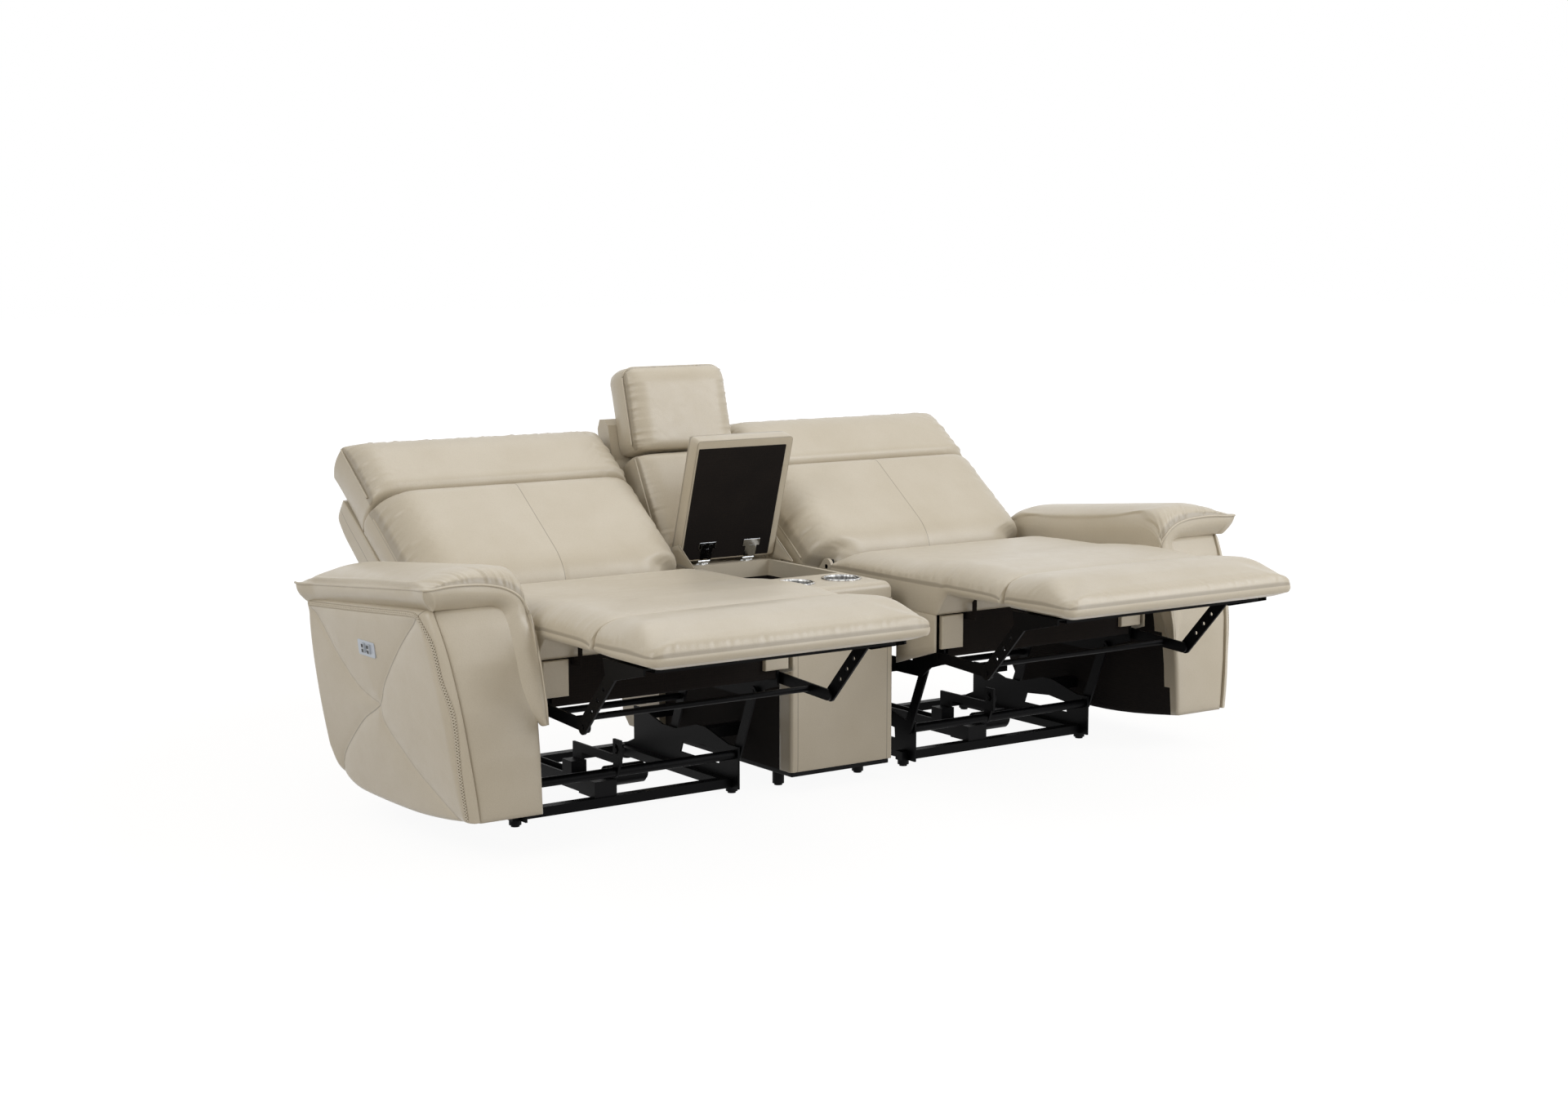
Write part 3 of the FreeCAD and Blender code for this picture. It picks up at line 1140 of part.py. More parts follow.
def console_nodes():
    """The console with its lid opened as photographed, and the feet."""
    emit("console_body", console_body())
    emit("console_top", console_top())
    emit("cup_holders", Part.makeCompound([cup_holder(-1.0), cup_holder(1.0)]))
    low, roll, shell = console_back()
    emit("console_back_cushion", low)
    emit("console_head_roll", roll)
    emit("console_back_shell", shell)
    emit("lid_hinge_bases", lid_hinge_bases())
    board, lining, leaves = lid_shut()
    emit("lid_board", turned(board, LID_PIN, -LID_OPEN))
    emit("lid_lining", turned(lining, LID_PIN, -LID_OPEN))
    emit("lid_hinge_leaves", turned(leaves, LID_PIN, -LID_OPEN))
    emit("feet", feet())


seat_nodes("left", -1.0)
seat_nodes("right", 1.0)
arm_nodes()
console_nodes()
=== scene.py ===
"""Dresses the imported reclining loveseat: leather cushions, seams, linings, metal finishes and the studio."""

import math

import bpy
import numpy as np
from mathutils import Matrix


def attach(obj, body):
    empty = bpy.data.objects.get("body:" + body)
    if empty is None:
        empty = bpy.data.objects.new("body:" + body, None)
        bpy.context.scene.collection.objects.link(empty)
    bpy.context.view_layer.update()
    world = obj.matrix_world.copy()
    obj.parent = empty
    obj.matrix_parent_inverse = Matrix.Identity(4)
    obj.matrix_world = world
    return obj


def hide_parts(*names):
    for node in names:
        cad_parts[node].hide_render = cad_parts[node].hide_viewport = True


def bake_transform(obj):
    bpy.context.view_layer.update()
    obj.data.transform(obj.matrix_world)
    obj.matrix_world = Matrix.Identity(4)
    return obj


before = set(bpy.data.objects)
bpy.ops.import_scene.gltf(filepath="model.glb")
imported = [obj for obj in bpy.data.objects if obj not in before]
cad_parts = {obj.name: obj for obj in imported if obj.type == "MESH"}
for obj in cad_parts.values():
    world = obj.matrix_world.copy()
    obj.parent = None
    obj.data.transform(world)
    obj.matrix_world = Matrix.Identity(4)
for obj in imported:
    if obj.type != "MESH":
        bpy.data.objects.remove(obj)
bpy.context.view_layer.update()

bl_info = {
    "name": "Reclining loveseat",
    "version": (1, 0, 0),
    "blender": (4, 5, 0),
    "location": "View3D > Sidebar > Loveseat",
    "description": "Upholstery, linings, metal finishes and studio for the packed loveseat",
    "category": "Object",
}

# Design frame: millimetres, y measured from the arm pads' front tips. As in the solids: a seat's middle,
# the half widths of chaise pad, back and console, the back's origin in y and z and its slope from level in
# degrees, the arm's inner plane and lean, and the side panel's foot and thickness
MM = 0.001
FRAME_Y = -262.0
SEAT_X = 540.0
CHAISE_HALF = 345.0
BACK_HALF = 352.0
BACK_ORIGIN = (532.0, 453.0)
BACK_ANGLE = 36.6
CONSOLE_HALF = 147.0
ARM_INNER = 908.0
ARM_LEAN = math.radians(6.9)
WING_FOOT = (1086.0, 94.0)
WING_T = 26.0
SIDES = (("left", -1.0), ("right", 1.0))


class LoveseatSizes(bpy.types.PropertyGroup):
    """Sizes of the upholstery that a user would change."""

    gather_depth: bpy.props.FloatProperty(
        name="Gather depth", description="Height of the gathers beside the sewn seams",
        default=0.0019, min=0.0, unit="LENGTH")
    welt_radius: bpy.props.FloatProperty(
        name="Welt radius", description="Radius of the rolled seams on the cushions",
        default=0.0024, min=0.0005, unit="LENGTH")
    grain: bpy.props.FloatProperty(
        name="Leather grain", description="Width of one pebble of the leather's grain",
        default=0.0022, min=0.0005, unit="LENGTH")
    air: bpy.props.FloatProperty(
        name="Cushion pressure", description="Pressure that plumps the cushions in the cloth simulation",
        default=4.0, min=0.0, subtype="UNSIGNED")


class LoveseatColours(bpy.types.PropertyGroup):
    """Colours of the finishes, as sRGB hex values."""

    leather: bpy.props.StringProperty(
        name="Leather", description="Light taupe hide", default="CAC1AF")
    leather_shade: bpy.props.StringProperty(
        name="Leather shade", description="Darker cast of the hide in the folds", default="ACA08B")
    cloth: bpy.props.StringProperty(
        name="Dark cloth", description="Dust cloth under the seats", default="15110F")
    steel: bpy.props.StringProperty(
        name="Frame paint", description="Satin black paint on the mechanism", default="060607")


def srgb(text):
    """sRGB hex text to linear RGBA, by the standard's two-part curve."""
    parts = [int(text[i:i + 2], 16) / 255.0 for i in (0, 2, 4)]
    return tuple(c / 12.92 if c <= 0.04045 else ((c + 0.055) / 1.055) ** 2.4 for c in parts) + (1.0,)


# Shape helpers

def side_point(v, w, origin=BACK_ORIGIN, angle=BACK_ANGLE):
    """Side-view y, z of a point v up a sloped back and w out from it: a turn by the angle, then a shift."""
    a = math.radians(angle)
    return origin[0] + v * math.cos(a) - w * math.sin(a), origin[1] + v * math.sin(a) + w * math.cos(a)


def lines(low, high, step, fine=(0.0, 2.5, 6.0, 12.0, 20.0, 30.0)):
    """Grid lines from low to high: even steps in the middle, closer ones beside both ends."""
    fine = np.array(fine)
    count = max(2, int(round((high - low - 2 * fine[-1]) / step)))
    middle = np.linspace(low + fine[-1], high - fine[-1], count + 1)
    return np.concatenate([low + fine[:-1], middle, high - fine[-2::-1]])


def swell(distance, run, power=2.0):
    """A cushion's rise inwards from its seam: a quarter of a superellipse over the run, then level."""
    t = np.clip(distance / run, 0.0, 1.0)
    return (1.0 - (1.0 - t) ** power) ** (1.0 / power)


def smooth(t):
    """Eases from 0 to 1: 3t squared less 2t cubed."""
    t = np.clip(t, 0.0, 1.0)
    return t * t * (3.0 - 2.0 * t)


def ripple(s, pitch, seed):
    """A repeatable uneven wave along a seam: five sines near the pitch, none a multiple of another."""
    out = np.zeros_like(s, dtype=float)
    for k, f in enumerate((0.61, 0.83, 1.0, 1.27, 1.63)):
        out += math.cos(seed * 1.7 + k) * np.sin(2 * math.pi * s * f / pitch + seed * 2.3 + k * 1.9)
    return out / 2.2


def xyz(x, y, z):
    """Points from their coordinates, each an array or one value for all."""
    return np.stack(np.broadcast_arrays(x, y, z), -1)


def quads(index):
    """Faces between neighbouring rows and columns of a grid of vertex numbers."""
    a, b, c, d = index[:-1, :-1], index[1:, :-1], index[1:, 1:], index[:-1, 1:]
    return np.stack([a, b, c, d], -1).reshape(-1, 4)


def border(index):
    """A grid's outer ring, in order."""
    return np.concatenate([index[:-1, 0], index[-1, :-1], index[:0:-1, -1], index[0, :0:-1]])


def unit(vectors):
    """Each vector at length 1."""
    return vectors / np.maximum(np.linalg.norm(vectors, axis=-1, keepdims=True), 1e-9)


def outward(ring):
    """Unit normals in plan of a closed ring that turns from x to y: its tangent turned a quarter back."""
    t = np.roll(ring, -1, 0) - np.roll(ring, 1, 0)
    return unit(xyz(t[:, 1], -t[:, 0], 0.0))


def linked(name, data):
    """A new object with the data, linked to the scene."""
    obj = bpy.data.objects.new(name, data)
    bpy.context.scene.collection.objects.link(obj)
    return obj


def build(name, points, faces, material, fields=None, smooth_shade=True):
    """A mesh piece from points in design millimetres, faces and named point attributes."""
    mesh = bpy.data.meshes.new(name)
    at = np.asarray(points, float).reshape(-1, 3) + (0.0, FRAME_Y, 0.0)
    mesh.from_pydata((at * MM).tolist(), [], faces if isinstance(faces, list) else faces.tolist())
    for key, values in (fields or {}).items():
        layer = mesh.attributes.new(key, "FLOAT", "POINT")
        layer.data.foreach_set("value", np.asarray(values, np.float32).ravel())
    mesh.polygons.foreach_set("use_smooth", [smooth_shade] * len(mesh.polygons))
    mesh.materials.append(material)
    mesh.validate()
    return linked(name, mesh)


def positions(mesh):
    """A mesh's points as an array."""
    out = np.zeros(len(mesh.vertices) * 3, np.float32)
    mesh.vertices.foreach_get("co", out)
    return out.reshape(-1, 3)


def across(obj, name):
    """A mirrored copy on the other side of the middle: x changes sign and each face turns round."""
    mesh = obj.data.copy()
    mesh.name = name
    mesh.vertices.foreach_set("co", (positions(mesh) * np.array((-1.0, 1.0, 1.0), np.float32)).ravel())
    mesh.flip_normals()
    mesh.update()
    return linked(name, mesh)


def pair(obj, name):
    """The right-hand piece and its mirror image, each with its side."""
    obj.name = name + "_right"
    obj.data.name = obj.name
    return ("right", obj), ("left", across(obj, name + "_left"))


def put(obj, body, nodes=None):
    """Attaches the piece to a body and hides the imported nodes it stands in for; an empty list hides none."""
    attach(obj, body)
    if nodes is not None:
        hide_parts(*nodes)
    return obj


def put_pair(obj, name, body, nodes=None):
    """The piece and its mirror image, each on its side's body and for its side's nodes."""
    for side, one in pair(obj, name):
        put(one, body.format(side), nodes and [word.format(side) for word in nodes])


def corner(x, y, x0, x1, y0, y1, r):
    """Rounds a rectangle's corners: each corner square of side r is pressed into a quarter disc."""
    out_x, out_y = x.copy(), y.copy()
    for sx, ex in ((-1.0, x0), (1.0, x1)):
        for sy, ey in ((-1.0, y0), (1.0, y1)):
            u = np.clip(1.0 - (ex - x) * sx / r, 0.0, 1.0)
            v = np.clip(1.0 - (ey - y) * sy / r, 0.0, 1.0)
            inside = (u > 0) & (v > 0)
            du = u * np.sqrt(np.maximum(1.0 - 0.5 * v * v, 0.0)) - u
            dv = v * np.sqrt(np.maximum(1.0 - 0.5 * u * u, 0.0)) - v
            out_x = np.where(inside, out_x + sx * du * r, out_x)
            out_y = np.where(inside, out_y + sy * dv * r, out_y)
    return out_x, out_y


def boxed(top, low, bulge=0.0, rows=6, nose=None, at=None):
    """A sewn cushion: a top panel, a boxing strip down to the low grid's edge and a flat underside.

    top and low are grids of points. The boxing has rows steps, or steps at the given shares, and bows out
    along the nose's directions by a sine of the bulge. Returns points, faces and how far down the boxing each
    point is, 0 on the top panel and 1 on the underside."""
    n, m = top.shape[:2]
    upper = np.arange(n * m).reshape(n, m)
    ring = border(upper)
    a, b = top.reshape(-1, 3)[ring], low.reshape(-1, 3)[ring]
    nose = outward(a) if nose is None else nose
    t = np.linspace(0.0, 1.0, rows + 1)[1:-1] if at is None else at
    strip = a[None] * (1 - t)[:, None, None] + b[None] * t[:, None, None]
    strip = strip + nose[None] * (bulge * np.sin(math.pi * t))[:, None, None]
    size, count = len(ring), n * m
    under = count + len(t) * size + upper
    rings = [ring] + [count + k * size + np.arange(size) for k in range(len(t))] + [border(under)]
    following = np.roll(np.arange(size), -1)
    faces = [quads(upper)]
    for one, two in zip(rings[:-1], rings[1:]):
        faces.append(np.stack([one, two, two[following], one[following]], -1))
    faces.append(quads(under)[:, ::-1])
    points = np.concatenate([top.reshape(-1, 3), strip.reshape(-1, 3), low.reshape(-1, 3)])
    depth = np.concatenate([np.zeros(count), np.repeat(t, size), np.ones(count)])
    return points, np.concatenate(faces), depth


def tube(name, path, radius, material, sides=8):
    """A round cord carried along an open path: at each point a circle across the path's direction."""
    path = np.asarray(path, float)
    t = unit(np.gradient(path, axis=0))
    u = unit(np.cross(np.where(np.abs(t[:, 2:3]) < 0.9, (0.0, 0.0, 1.0), (0.0, 1.0, 0.0)), t))
    v = np.cross(t, u)
    a = np.linspace(0, 2 * math.pi, sides, endpoint=False)[None, :, None]
    ring = path[:, None] + radius * (np.cos(a) * u[:, None] + np.sin(a) * v[:, None])
    index = np.arange(len(path) * sides).reshape(len(path), sides)
    faces = quads(np.concatenate([index, index[:, :1]], 1))[:, ::-1].tolist()
    return build(name, ring, faces + [index[0, ::-1].tolist(), index[-1].tolist()], material)


def resample(path, step):
    """Even points along a broken line, about a step apart."""
    path = np.asarray(path, float)
    seg = np.linalg.norm(np.diff(path, axis=0), axis=1)
    s = np.concatenate([[0.0], np.cumsum(seg)])
    n = max(2, int(round(s[-1] / step)) + 1)
    at = np.linspace(0.0, s[-1], n)
    return np.stack([np.interp(at, s, path[:, k]) for k in range(path.shape[1])], -1)


def catmull_rom(a, b, c, d, t):
    """The cubic from b to c whose ends run along a to c and b to d."""
    return 0.5 * (2 * b + (c - a) * t + (2 * a - 5 * b + 4 * c - d) * t ** 2
                  + (3 * b - a - 3 * c + d) * t ** 3)


def curve_through(points, step):
    """A smooth line through points: Catmull-Rom pieces, each a cubic of its four nearest points."""
    p = np.asarray(points, float)
    p = np.concatenate([2 * p[:1] - p[1:2], p, 2 * p[-1:] - p[-2:-1]])
    t = np.linspace(0.0, 1.0, 12, endpoint=False)[:, None]
    out = [catmull_rom(*p[k - 1:k + 3], t) for k in range(1, len(p) - 2)]
    return resample(np.concatenate(out + [p[-2:-1]]), step)


# Cloth simulation: its frames, and the settings that every cushion shares
CLOTH_FRAMES = 16
CLOTH = {
    "use_pressure": True, "quality": 4, "mass": 0.4, "tension_stiffness": 25.0, "compression_stiffness": 25.0,
    "shear_stiffness": 12.0, "bending_stiffness": 6.0}


def plump(obj, held, cap):
    """Cloth under pressure with the held points pinned; each point then moves at most the cap, in metres."""
    scene = bpy.context.scene
    group = obj.vertex_groups.new(name="held")
    group.add(np.nonzero(held)[0].tolist(), 1.0, "REPLACE")
    cloth = obj.modifiers.new("Cloth", "CLOTH")
    cloth.settings.vertex_group_mass = "held"
    for key, value in CLOTH.items():
        setattr(cloth.settings, key, value)
    cloth.settings.uniform_pressure_force = scene.loveseat_sizes.air
    cloth.settings.effector_weights.gravity = 0.0
    cloth.point_cache.frame_start, cloth.point_cache.frame_end = 1, CLOTH_FRAMES
    for number in range(1, CLOTH_FRAMES + 1):
        scene.frame_set(number)
    shaped = obj.evaluated_get(bpy.context.evaluated_depsgraph_get()).data
    new, old = positions(shaped), positions(obj.data)
    obj.modifiers.remove(cloth)
    obj.vertex_groups.remove(group)
    scene.frame_set(1)
    move = new - old
    move *= np.minimum(1.0, cap / np.maximum(np.linalg.norm(move, axis=1, keepdims=True), 1e-9))
    obj.data.vertices.foreach_set("co", (old + move).ravel())
    obj.data.update()


def refine(obj):
    """Adds one level of subdivision to the mesh itself, so that what follows has points enough."""
    mod = obj.modifiers.new("Subdivision", "SUBSURF")
    mod.levels = mod.render_levels = 1
    graph = bpy.context.evaluated_depsgraph_get()
    new = bpy.data.meshes.new_from_object(obj.evaluated_get(graph), depsgraph=graph)
    obj.modifiers.remove(mod)
    old, obj.data = obj.data, new
    name = old.name
    bpy.data.meshes.remove(old)
    new.name = name


def field(obj, name):
    """A point attribute as an array."""
    out = np.zeros(len(obj.data.vertices), np.float32)
    obj.data.attributes[name].data.foreach_get("value", out)
    return out


def push(obj, amount):
    """Moves every point along its normal by the amount, in metres."""
    normals = np.zeros(len(obj.data.vertices) * 3, np.float32)
    obj.data.vertex_normals.foreach_get("vector", normals)
    moved = positions(obj.data) + normals.reshape(-1, 3) * np.asarray(amount, np.float32)[:, None]
    obj.data.vertices.foreach_set("co", moved.ravel())
    obj.data.update()


# Material helpers

def node(tree, kind, inputs=None, **settings):
    """Adds a node, sets its properties and fills its inputs with values or with other nodes' sockets."""
    new = tree.nodes.new(kind)
    for key, value in settings.items():
        setattr(new, key, value)
    for key, value in (inputs or {}).items():
        if isinstance(value, bpy.types.NodeSocket):
            tree.links.new(value, new.inputs[key])
        else:
            new.inputs[key].default_value = value
    return new


def calc(tree, operation, *values):
    """The result of one maths node."""
    return node(tree, "ShaderNodeMath", dict(enumerate(values)), operation=operation).outputs[0]


def ranged(tree, value, low, high, start=0.0, end=1.0):
    """A value's place between low and high, carried to between start and end."""
    return node(tree, "ShaderNodeMapRange", dict(enumerate((value, low, high, start, end)))).outputs[0]


def tinted(tree, share, one, two):
    """A blend of two colours by a share."""
    return node(tree, "ShaderNodeMix", {0: share, 6: one, 7: two}, data_type="RGBA").outputs[2]


def noise(tree, place, size, detail, roughness=0.5, distortion=0.0):
    """A cloudy pattern whose patches have the given size in metres."""
    return node(tree, "ShaderNodeTexNoise", {
        "Vector": place, "Scale": 1.0 / size, "Detail": detail, "Roughness": roughness,
        "Distortion": distortion}).outputs["Fac"]


def object_place(tree):
    """Positions on the object itself, so that patterns ride with it."""
    return node(tree, "ShaderNodeTexCoord").outputs["Object"]


def surface(tree, height, strength, distance, inputs):
    """Closes a material: a principled shader with a relief of the height, into the output."""
    bump = node(tree, "ShaderNodeBump", {"Height": height, "Strength": strength, "Distance": distance})
    shader = node(tree, "ShaderNodeBsdfPrincipled", {**inputs, "Normal": bump.outputs[0]})
    node(tree, "ShaderNodeOutputMaterial", {0: shader.outputs[0]})


def made_once(name, fill, *values):
    """The material of that name; at its first use it is made, and fill lays out its nodes from the values."""
    if name not in bpy.data.materials:
        made = bpy.data.materials.new(name)
        made.use_nodes = True
        made.node_tree.nodes.clear()
        fill(made.node_tree, *values)
    return bpy.data.materials[name]


# Pattern sizes in metres: patches of dye, soft creases, the cloth's wear and its wave, for 3 mm diamonds
DYE_PATCH = 0.16
CREASE = 0.030
CLOTH_WEAR = 0.09
CLOTH_WAVE = 0.0188
# The hide's second dye, the painted shade of its seams, and the cloth's worn and pressed tones
DYE = "C3B9A5"
SEAM_SHADE = "6F6453"
CLOTH_WORN = "1C1714"
CLOTH_PRESSED = "0A0807"
# Painted shade along seams, drawn from a distance attribute: its name, the shaded line's width in millimetres
# and its strength
PIPING_SHADE = ("piping", 6.0, 0.4)
FINE_PIPING_SHADE = ("piping", 1.8, 0.5)


def shaded_seam_mask(tree, name, width):
    """Where the painted seam shade falls: 1 on a seam and 0 beside it, from the signed distance to it that the
    points carry in millimetres.
    """
    distance = node(tree, "ShaderNodeAttribute", attribute_name=name).outputs["Fac"]
    return ranged(tree, calc(tree, "ABSOLUTE", distance), width * 0.45, width, 1.0, 0.0)


def hide_nodes(tree, seams):
    """Broad mottling for the hide's uneven dye, a fine pebble for its grain, soft creases for its give, and
    painted shade along the seams given.
    """
    colours = bpy.context.scene.loveseat_colours
    place = object_place(tree)
    patches = ranged(tree, noise(tree, place, DYE_PATCH, 3.0, 0.55), 0.32, 0.72)
    base = tinted(tree, patches, srgb(colours.leather), srgb(DYE))
    # Real pebbles are near 1 mm; they are drawn at the size given so that they show in the render
    grain = bpy.context.scene.loveseat_sizes.grain
    pebble = node(tree, "ShaderNodeTexVoronoi", {"Vector": place, "Scale": 1.0 / grain}, feature="SMOOTH_F1")
    pebble = pebble.outputs["Distance"]
    speck = calc(tree, "MULTIPLY", ranged(tree, pebble, 0.25, 0.75), 0.16)
    base = tinted(tree, speck, base, srgb(colours.leather_shade))
    # Painted shade: each seam listed is darkened towards the seam shade colour, for the shadow in its groove
    # or beside its welt
    for name, width, strength in seams:
        line = calc(tree, "MULTIPLY", shaded_seam_mask(tree, name, width), strength)
        base = tinted(tree, line, base, srgb(SEAM_SHADE))
    crease = noise(tree, place, CREASE, 4.0, 0.6, 0.8)
    rough = ranged(tree, crease, 0.3, 0.7, 0.33, 0.45)
    height = calc(tree, "ADD", calc(tree, "MULTIPLY", crease, 2.2), pebble)
    surface(tree, height, 0.22, 0.0006, {
        "Base Color": base, "Roughness": rough, "IOR": 1.5, "Sheen Weight": 0.06, "Sheen Roughness": 0.5,
        "Coat Weight": 0.2, "Coat Roughness": 0.3})


def leather(name="leather_taupe_semi_gloss", seams=()):
    """Corrected-grain upholstery leather, dyed light taupe with a semi-gloss finish, with painted shade along
    its seams.
    """
    return made_once(name, hide_nodes, seams)


def piped():
    """The hide with painted shade along a broad edge beside its welt, for back cushions, headrests and arm
    pillows.
    """
    return leather("leather_taupe_piping_shade", (PIPING_SHADE,))


def fine_piped():
    """The hide with painted shade along a fine edge beside its seam, for the seats' covers and the console's
    lid.
    """
    return leather("leather_taupe_fine_piping_shade", (FINE_PIPING_SHADE,))


def cloth_nodes(tree):
    """Fine pressed diamonds: every 1.5 mm on the real cloth, and drawn at 3 mm, so that they show."""
    place = object_place(tree)
    waves = [node(tree, "ShaderNodeTexWave", {"Vector": place, "Scale": 1.0 / CLOTH_WAVE, "Distortion": 0.6},
                  wave_type="BANDS", bands_direction=way).outputs["Fac"] for way in ("X", "Z")]
    weave = calc(tree, "MULTIPLY", *waves)
    wear = ranged(tree, noise(tree, place, CLOTH_WEAR, 4.0), 0.35, 0.7)
    base = tinted(tree, wear, srgb(bpy.context.scene.loveseat_colours.cloth), srgb(CLOTH_WORN))
    base = tinted(tree, ranged(tree, weave, 0.1, 0.8, 0.0, 0.45), base, srgb(CLOTH_PRESSED))
    surface(tree, weave, 0.3, 0.0005, {"Base Color": base, "Roughness": 0.95, "Specular IOR Level": 0.2})


def dust_cloth():
    """Black-brown spunbond dust cloth: matt, with a fine pressed weave."""
    return made_once("polypropylene_dust_cloth", cloth_nodes)


def plain_nodes(tree, colours, size, metallic, rough, relief, stretch, shine):
    """Two colours and two roughnesses that drift with a noise of the given size in metres."""
    place = node(tree, "ShaderNodeMapping", {"Vector": object_place(tree), "Scale": stretch}).outputs[0]
    drift = noise(tree, place, size, 3.0)
    base = tinted(tree, ranged(tree, drift, 0.3, 0.7), srgb(colours[0]), srgb(colours[1]))
    surface(tree, drift, 0.25, relief, {
        "Base Color": base, "Roughness": ranged(tree, drift, 0.3, 0.7, *rough), "Metallic": metallic,
        "Specular IOR Level": shine})


def plain(name, colours, size, metallic, rough, relief, stretch=(1.0, 1.0, 1.0), shine=0.5):
    """One finish with no pattern of its own: two colours, a roughness range and a relief in metres."""
    return made_once(name, plain_nodes, colours, size, metallic, rough, relief, stretch, shine)


def powder_coat():
    """Satin black powder coat on pressed steel: faint orange peel, 2 mm across."""
    colour = bpy.context.scene.loveseat_colours.steel
    return plain("steel_black_powder_coat", (colour, "08080A"), 0.002, 0.0, (0.36, 0.5), 0.0002, shine=0.07)


def chrome():
    """Chromed steel of the lid's hinges: bright, with faint handling marks."""
    return plain("steel_chrome_plated", ("C9CBCC", "B9BBBE"), 0.012, 1.0, (0.1, 0.2), 0.00005)


def stainless():
    """Polished stainless steel of the cup holders, with painted reflection: upright light and dark streaks in
    its colour, 6 mm wide, stand in for a room mirrored in its wall.
    """
    return plain("stainless_steel_painted_reflection", ("F4F4F2", "6E6E70"), 0.006, 0.9, (0.14, 0.26), 0.00005,
                 (1.0, 1.0, 0.04))


def abs_black():
    """Moulded black ABS of motors, drive blocks, feet and plinth: a spark-eroded grain about 1 mm wide."""
    return plain("abs_black_moulded", ("0A0A0B", "111113"), 0.0012, 0.0, (0.42, 0.54), 0.0002, shine=0.1)


def abs_silver():
    """Silver-painted ABS of the switch plate: pale, cool and satin."""
    return plain("abs_silver_painted", ("AEB6C1", "BCC3CC"), 0.0015, 0.35, (0.3, 0.38), 0.0001)


def abs_button():
    """Pale grey ABS push buttons, satin moulded."""
    return plain("abs_pale_grey_satin", ("B9C0C9", "C3C9D1"), 0.0012, 0.0, (0.35, 0.42), 0.0001)


def ink():
    """Pad-printed black ink of the switch marks: matt, with slightly uneven cover."""
    return plain("ink_black_printed", ("101012", "19191C"), 0.002, 0.0, (0.5, 0.6), 0.00005)


def thread():
    """Bonded polyester sewing thread, one shade paler than the hide, twisted about once a millimetre."""
    return plain("polyester_thread_pale", ("D6CEBE", "C6BDAB"), 0.0012, 0.0, (0.5, 0.65), 0.0002,
                 (1.0, 1.0, 2.0))


# Cushions

# Distances in millimetres that stand for beyond any gather and off any seam
FAR = 900.0
OFF_SEAM = 60.0


def over_top(depth, values, below):
    """A field over a boxed piece of those depths: the values on its top panel's grid, the others below it."""
    out = np.array(np.broadcast_to(below, depth.shape), float)
    out[:values.size] = values.ravel()
    return out


def gathered(obj, depth_share, reach, pitch, seed):
    """Gathers beside a seam: an uneven wave along it that dies away with the distance from it."""
    depth = bpy.context.scene.loveseat_sizes.gather_depth * depth_share
    away, along = field(obj, "away"), field(obj, "along")
    wave = ripple(along, pitch, seed) + 0.55 * ripple(along, pitch * 2.3, seed + 3.0)
    reach = reach * (1.0 + 0.5 * ripple(along, pitch * 3.1, seed + 7.0))
    push(obj, depth * wave * np.exp(-away / np.maximum(reach, 8.0)) * smooth(away / 5.0))


def upholstered(name, points, faces, material, fields, held, cap, gathers):
    """Builds a cushion, plumps it where it isn't held, by the cap at most, refines and gathers it."""
    obj = build(name, points, faces, material, fields)
    plump(obj, held, cap)
    refine(obj)
    gathered(obj, *gathers)
    return obj


def pucker(edge_x, edge_y):
    """How far a pad is drawn down at both ends of the joint, with small folds that fan out from each end."""
    far = np.hypot(edge_x, edge_y)
    turn = np.arctan2(edge_y, edge_x + 4.0)
    return 6.0 * np.exp(-(far / 15.0) ** 2) + 1.4 * np.exp(-(far / 36.0) ** 2) * np.cos(9.0 * turn)


# The seat's covers: ends in y, the fold between seat and chaise pad, and the height of their sewn edge
SEAT_Y = (-204.6, 452.0)
FOOT_Y = (-454.0, -205.6)
SEAT_FOLD = 12.0
SEAT_EDGE_Z = 473.5
# Crown and underside along y, from the joint with the foot pad to the back
SEAT_CROWN = ((-203, -150, -60, 0, 80, 150, 300, 452), (50, 53, 57, 56, 50, 42, 40, 36))
SEAT_FLOOR = ((-203, -8, 20, 30, 452), (446, 446, 424, 400.5, 400.5))
# The foot pad's edge height and the run of its sides by the distance from the joint
FOOT_FROM_JOINT = (0.0, 60.0, 160.0)
FOOT_EDGE_Z = (473.0, 474.0, 477.0)
FOOT_SIDE_RUN = (84.0, 84.0, 52.0)
FOOT_FLOOR_Z = 446.2


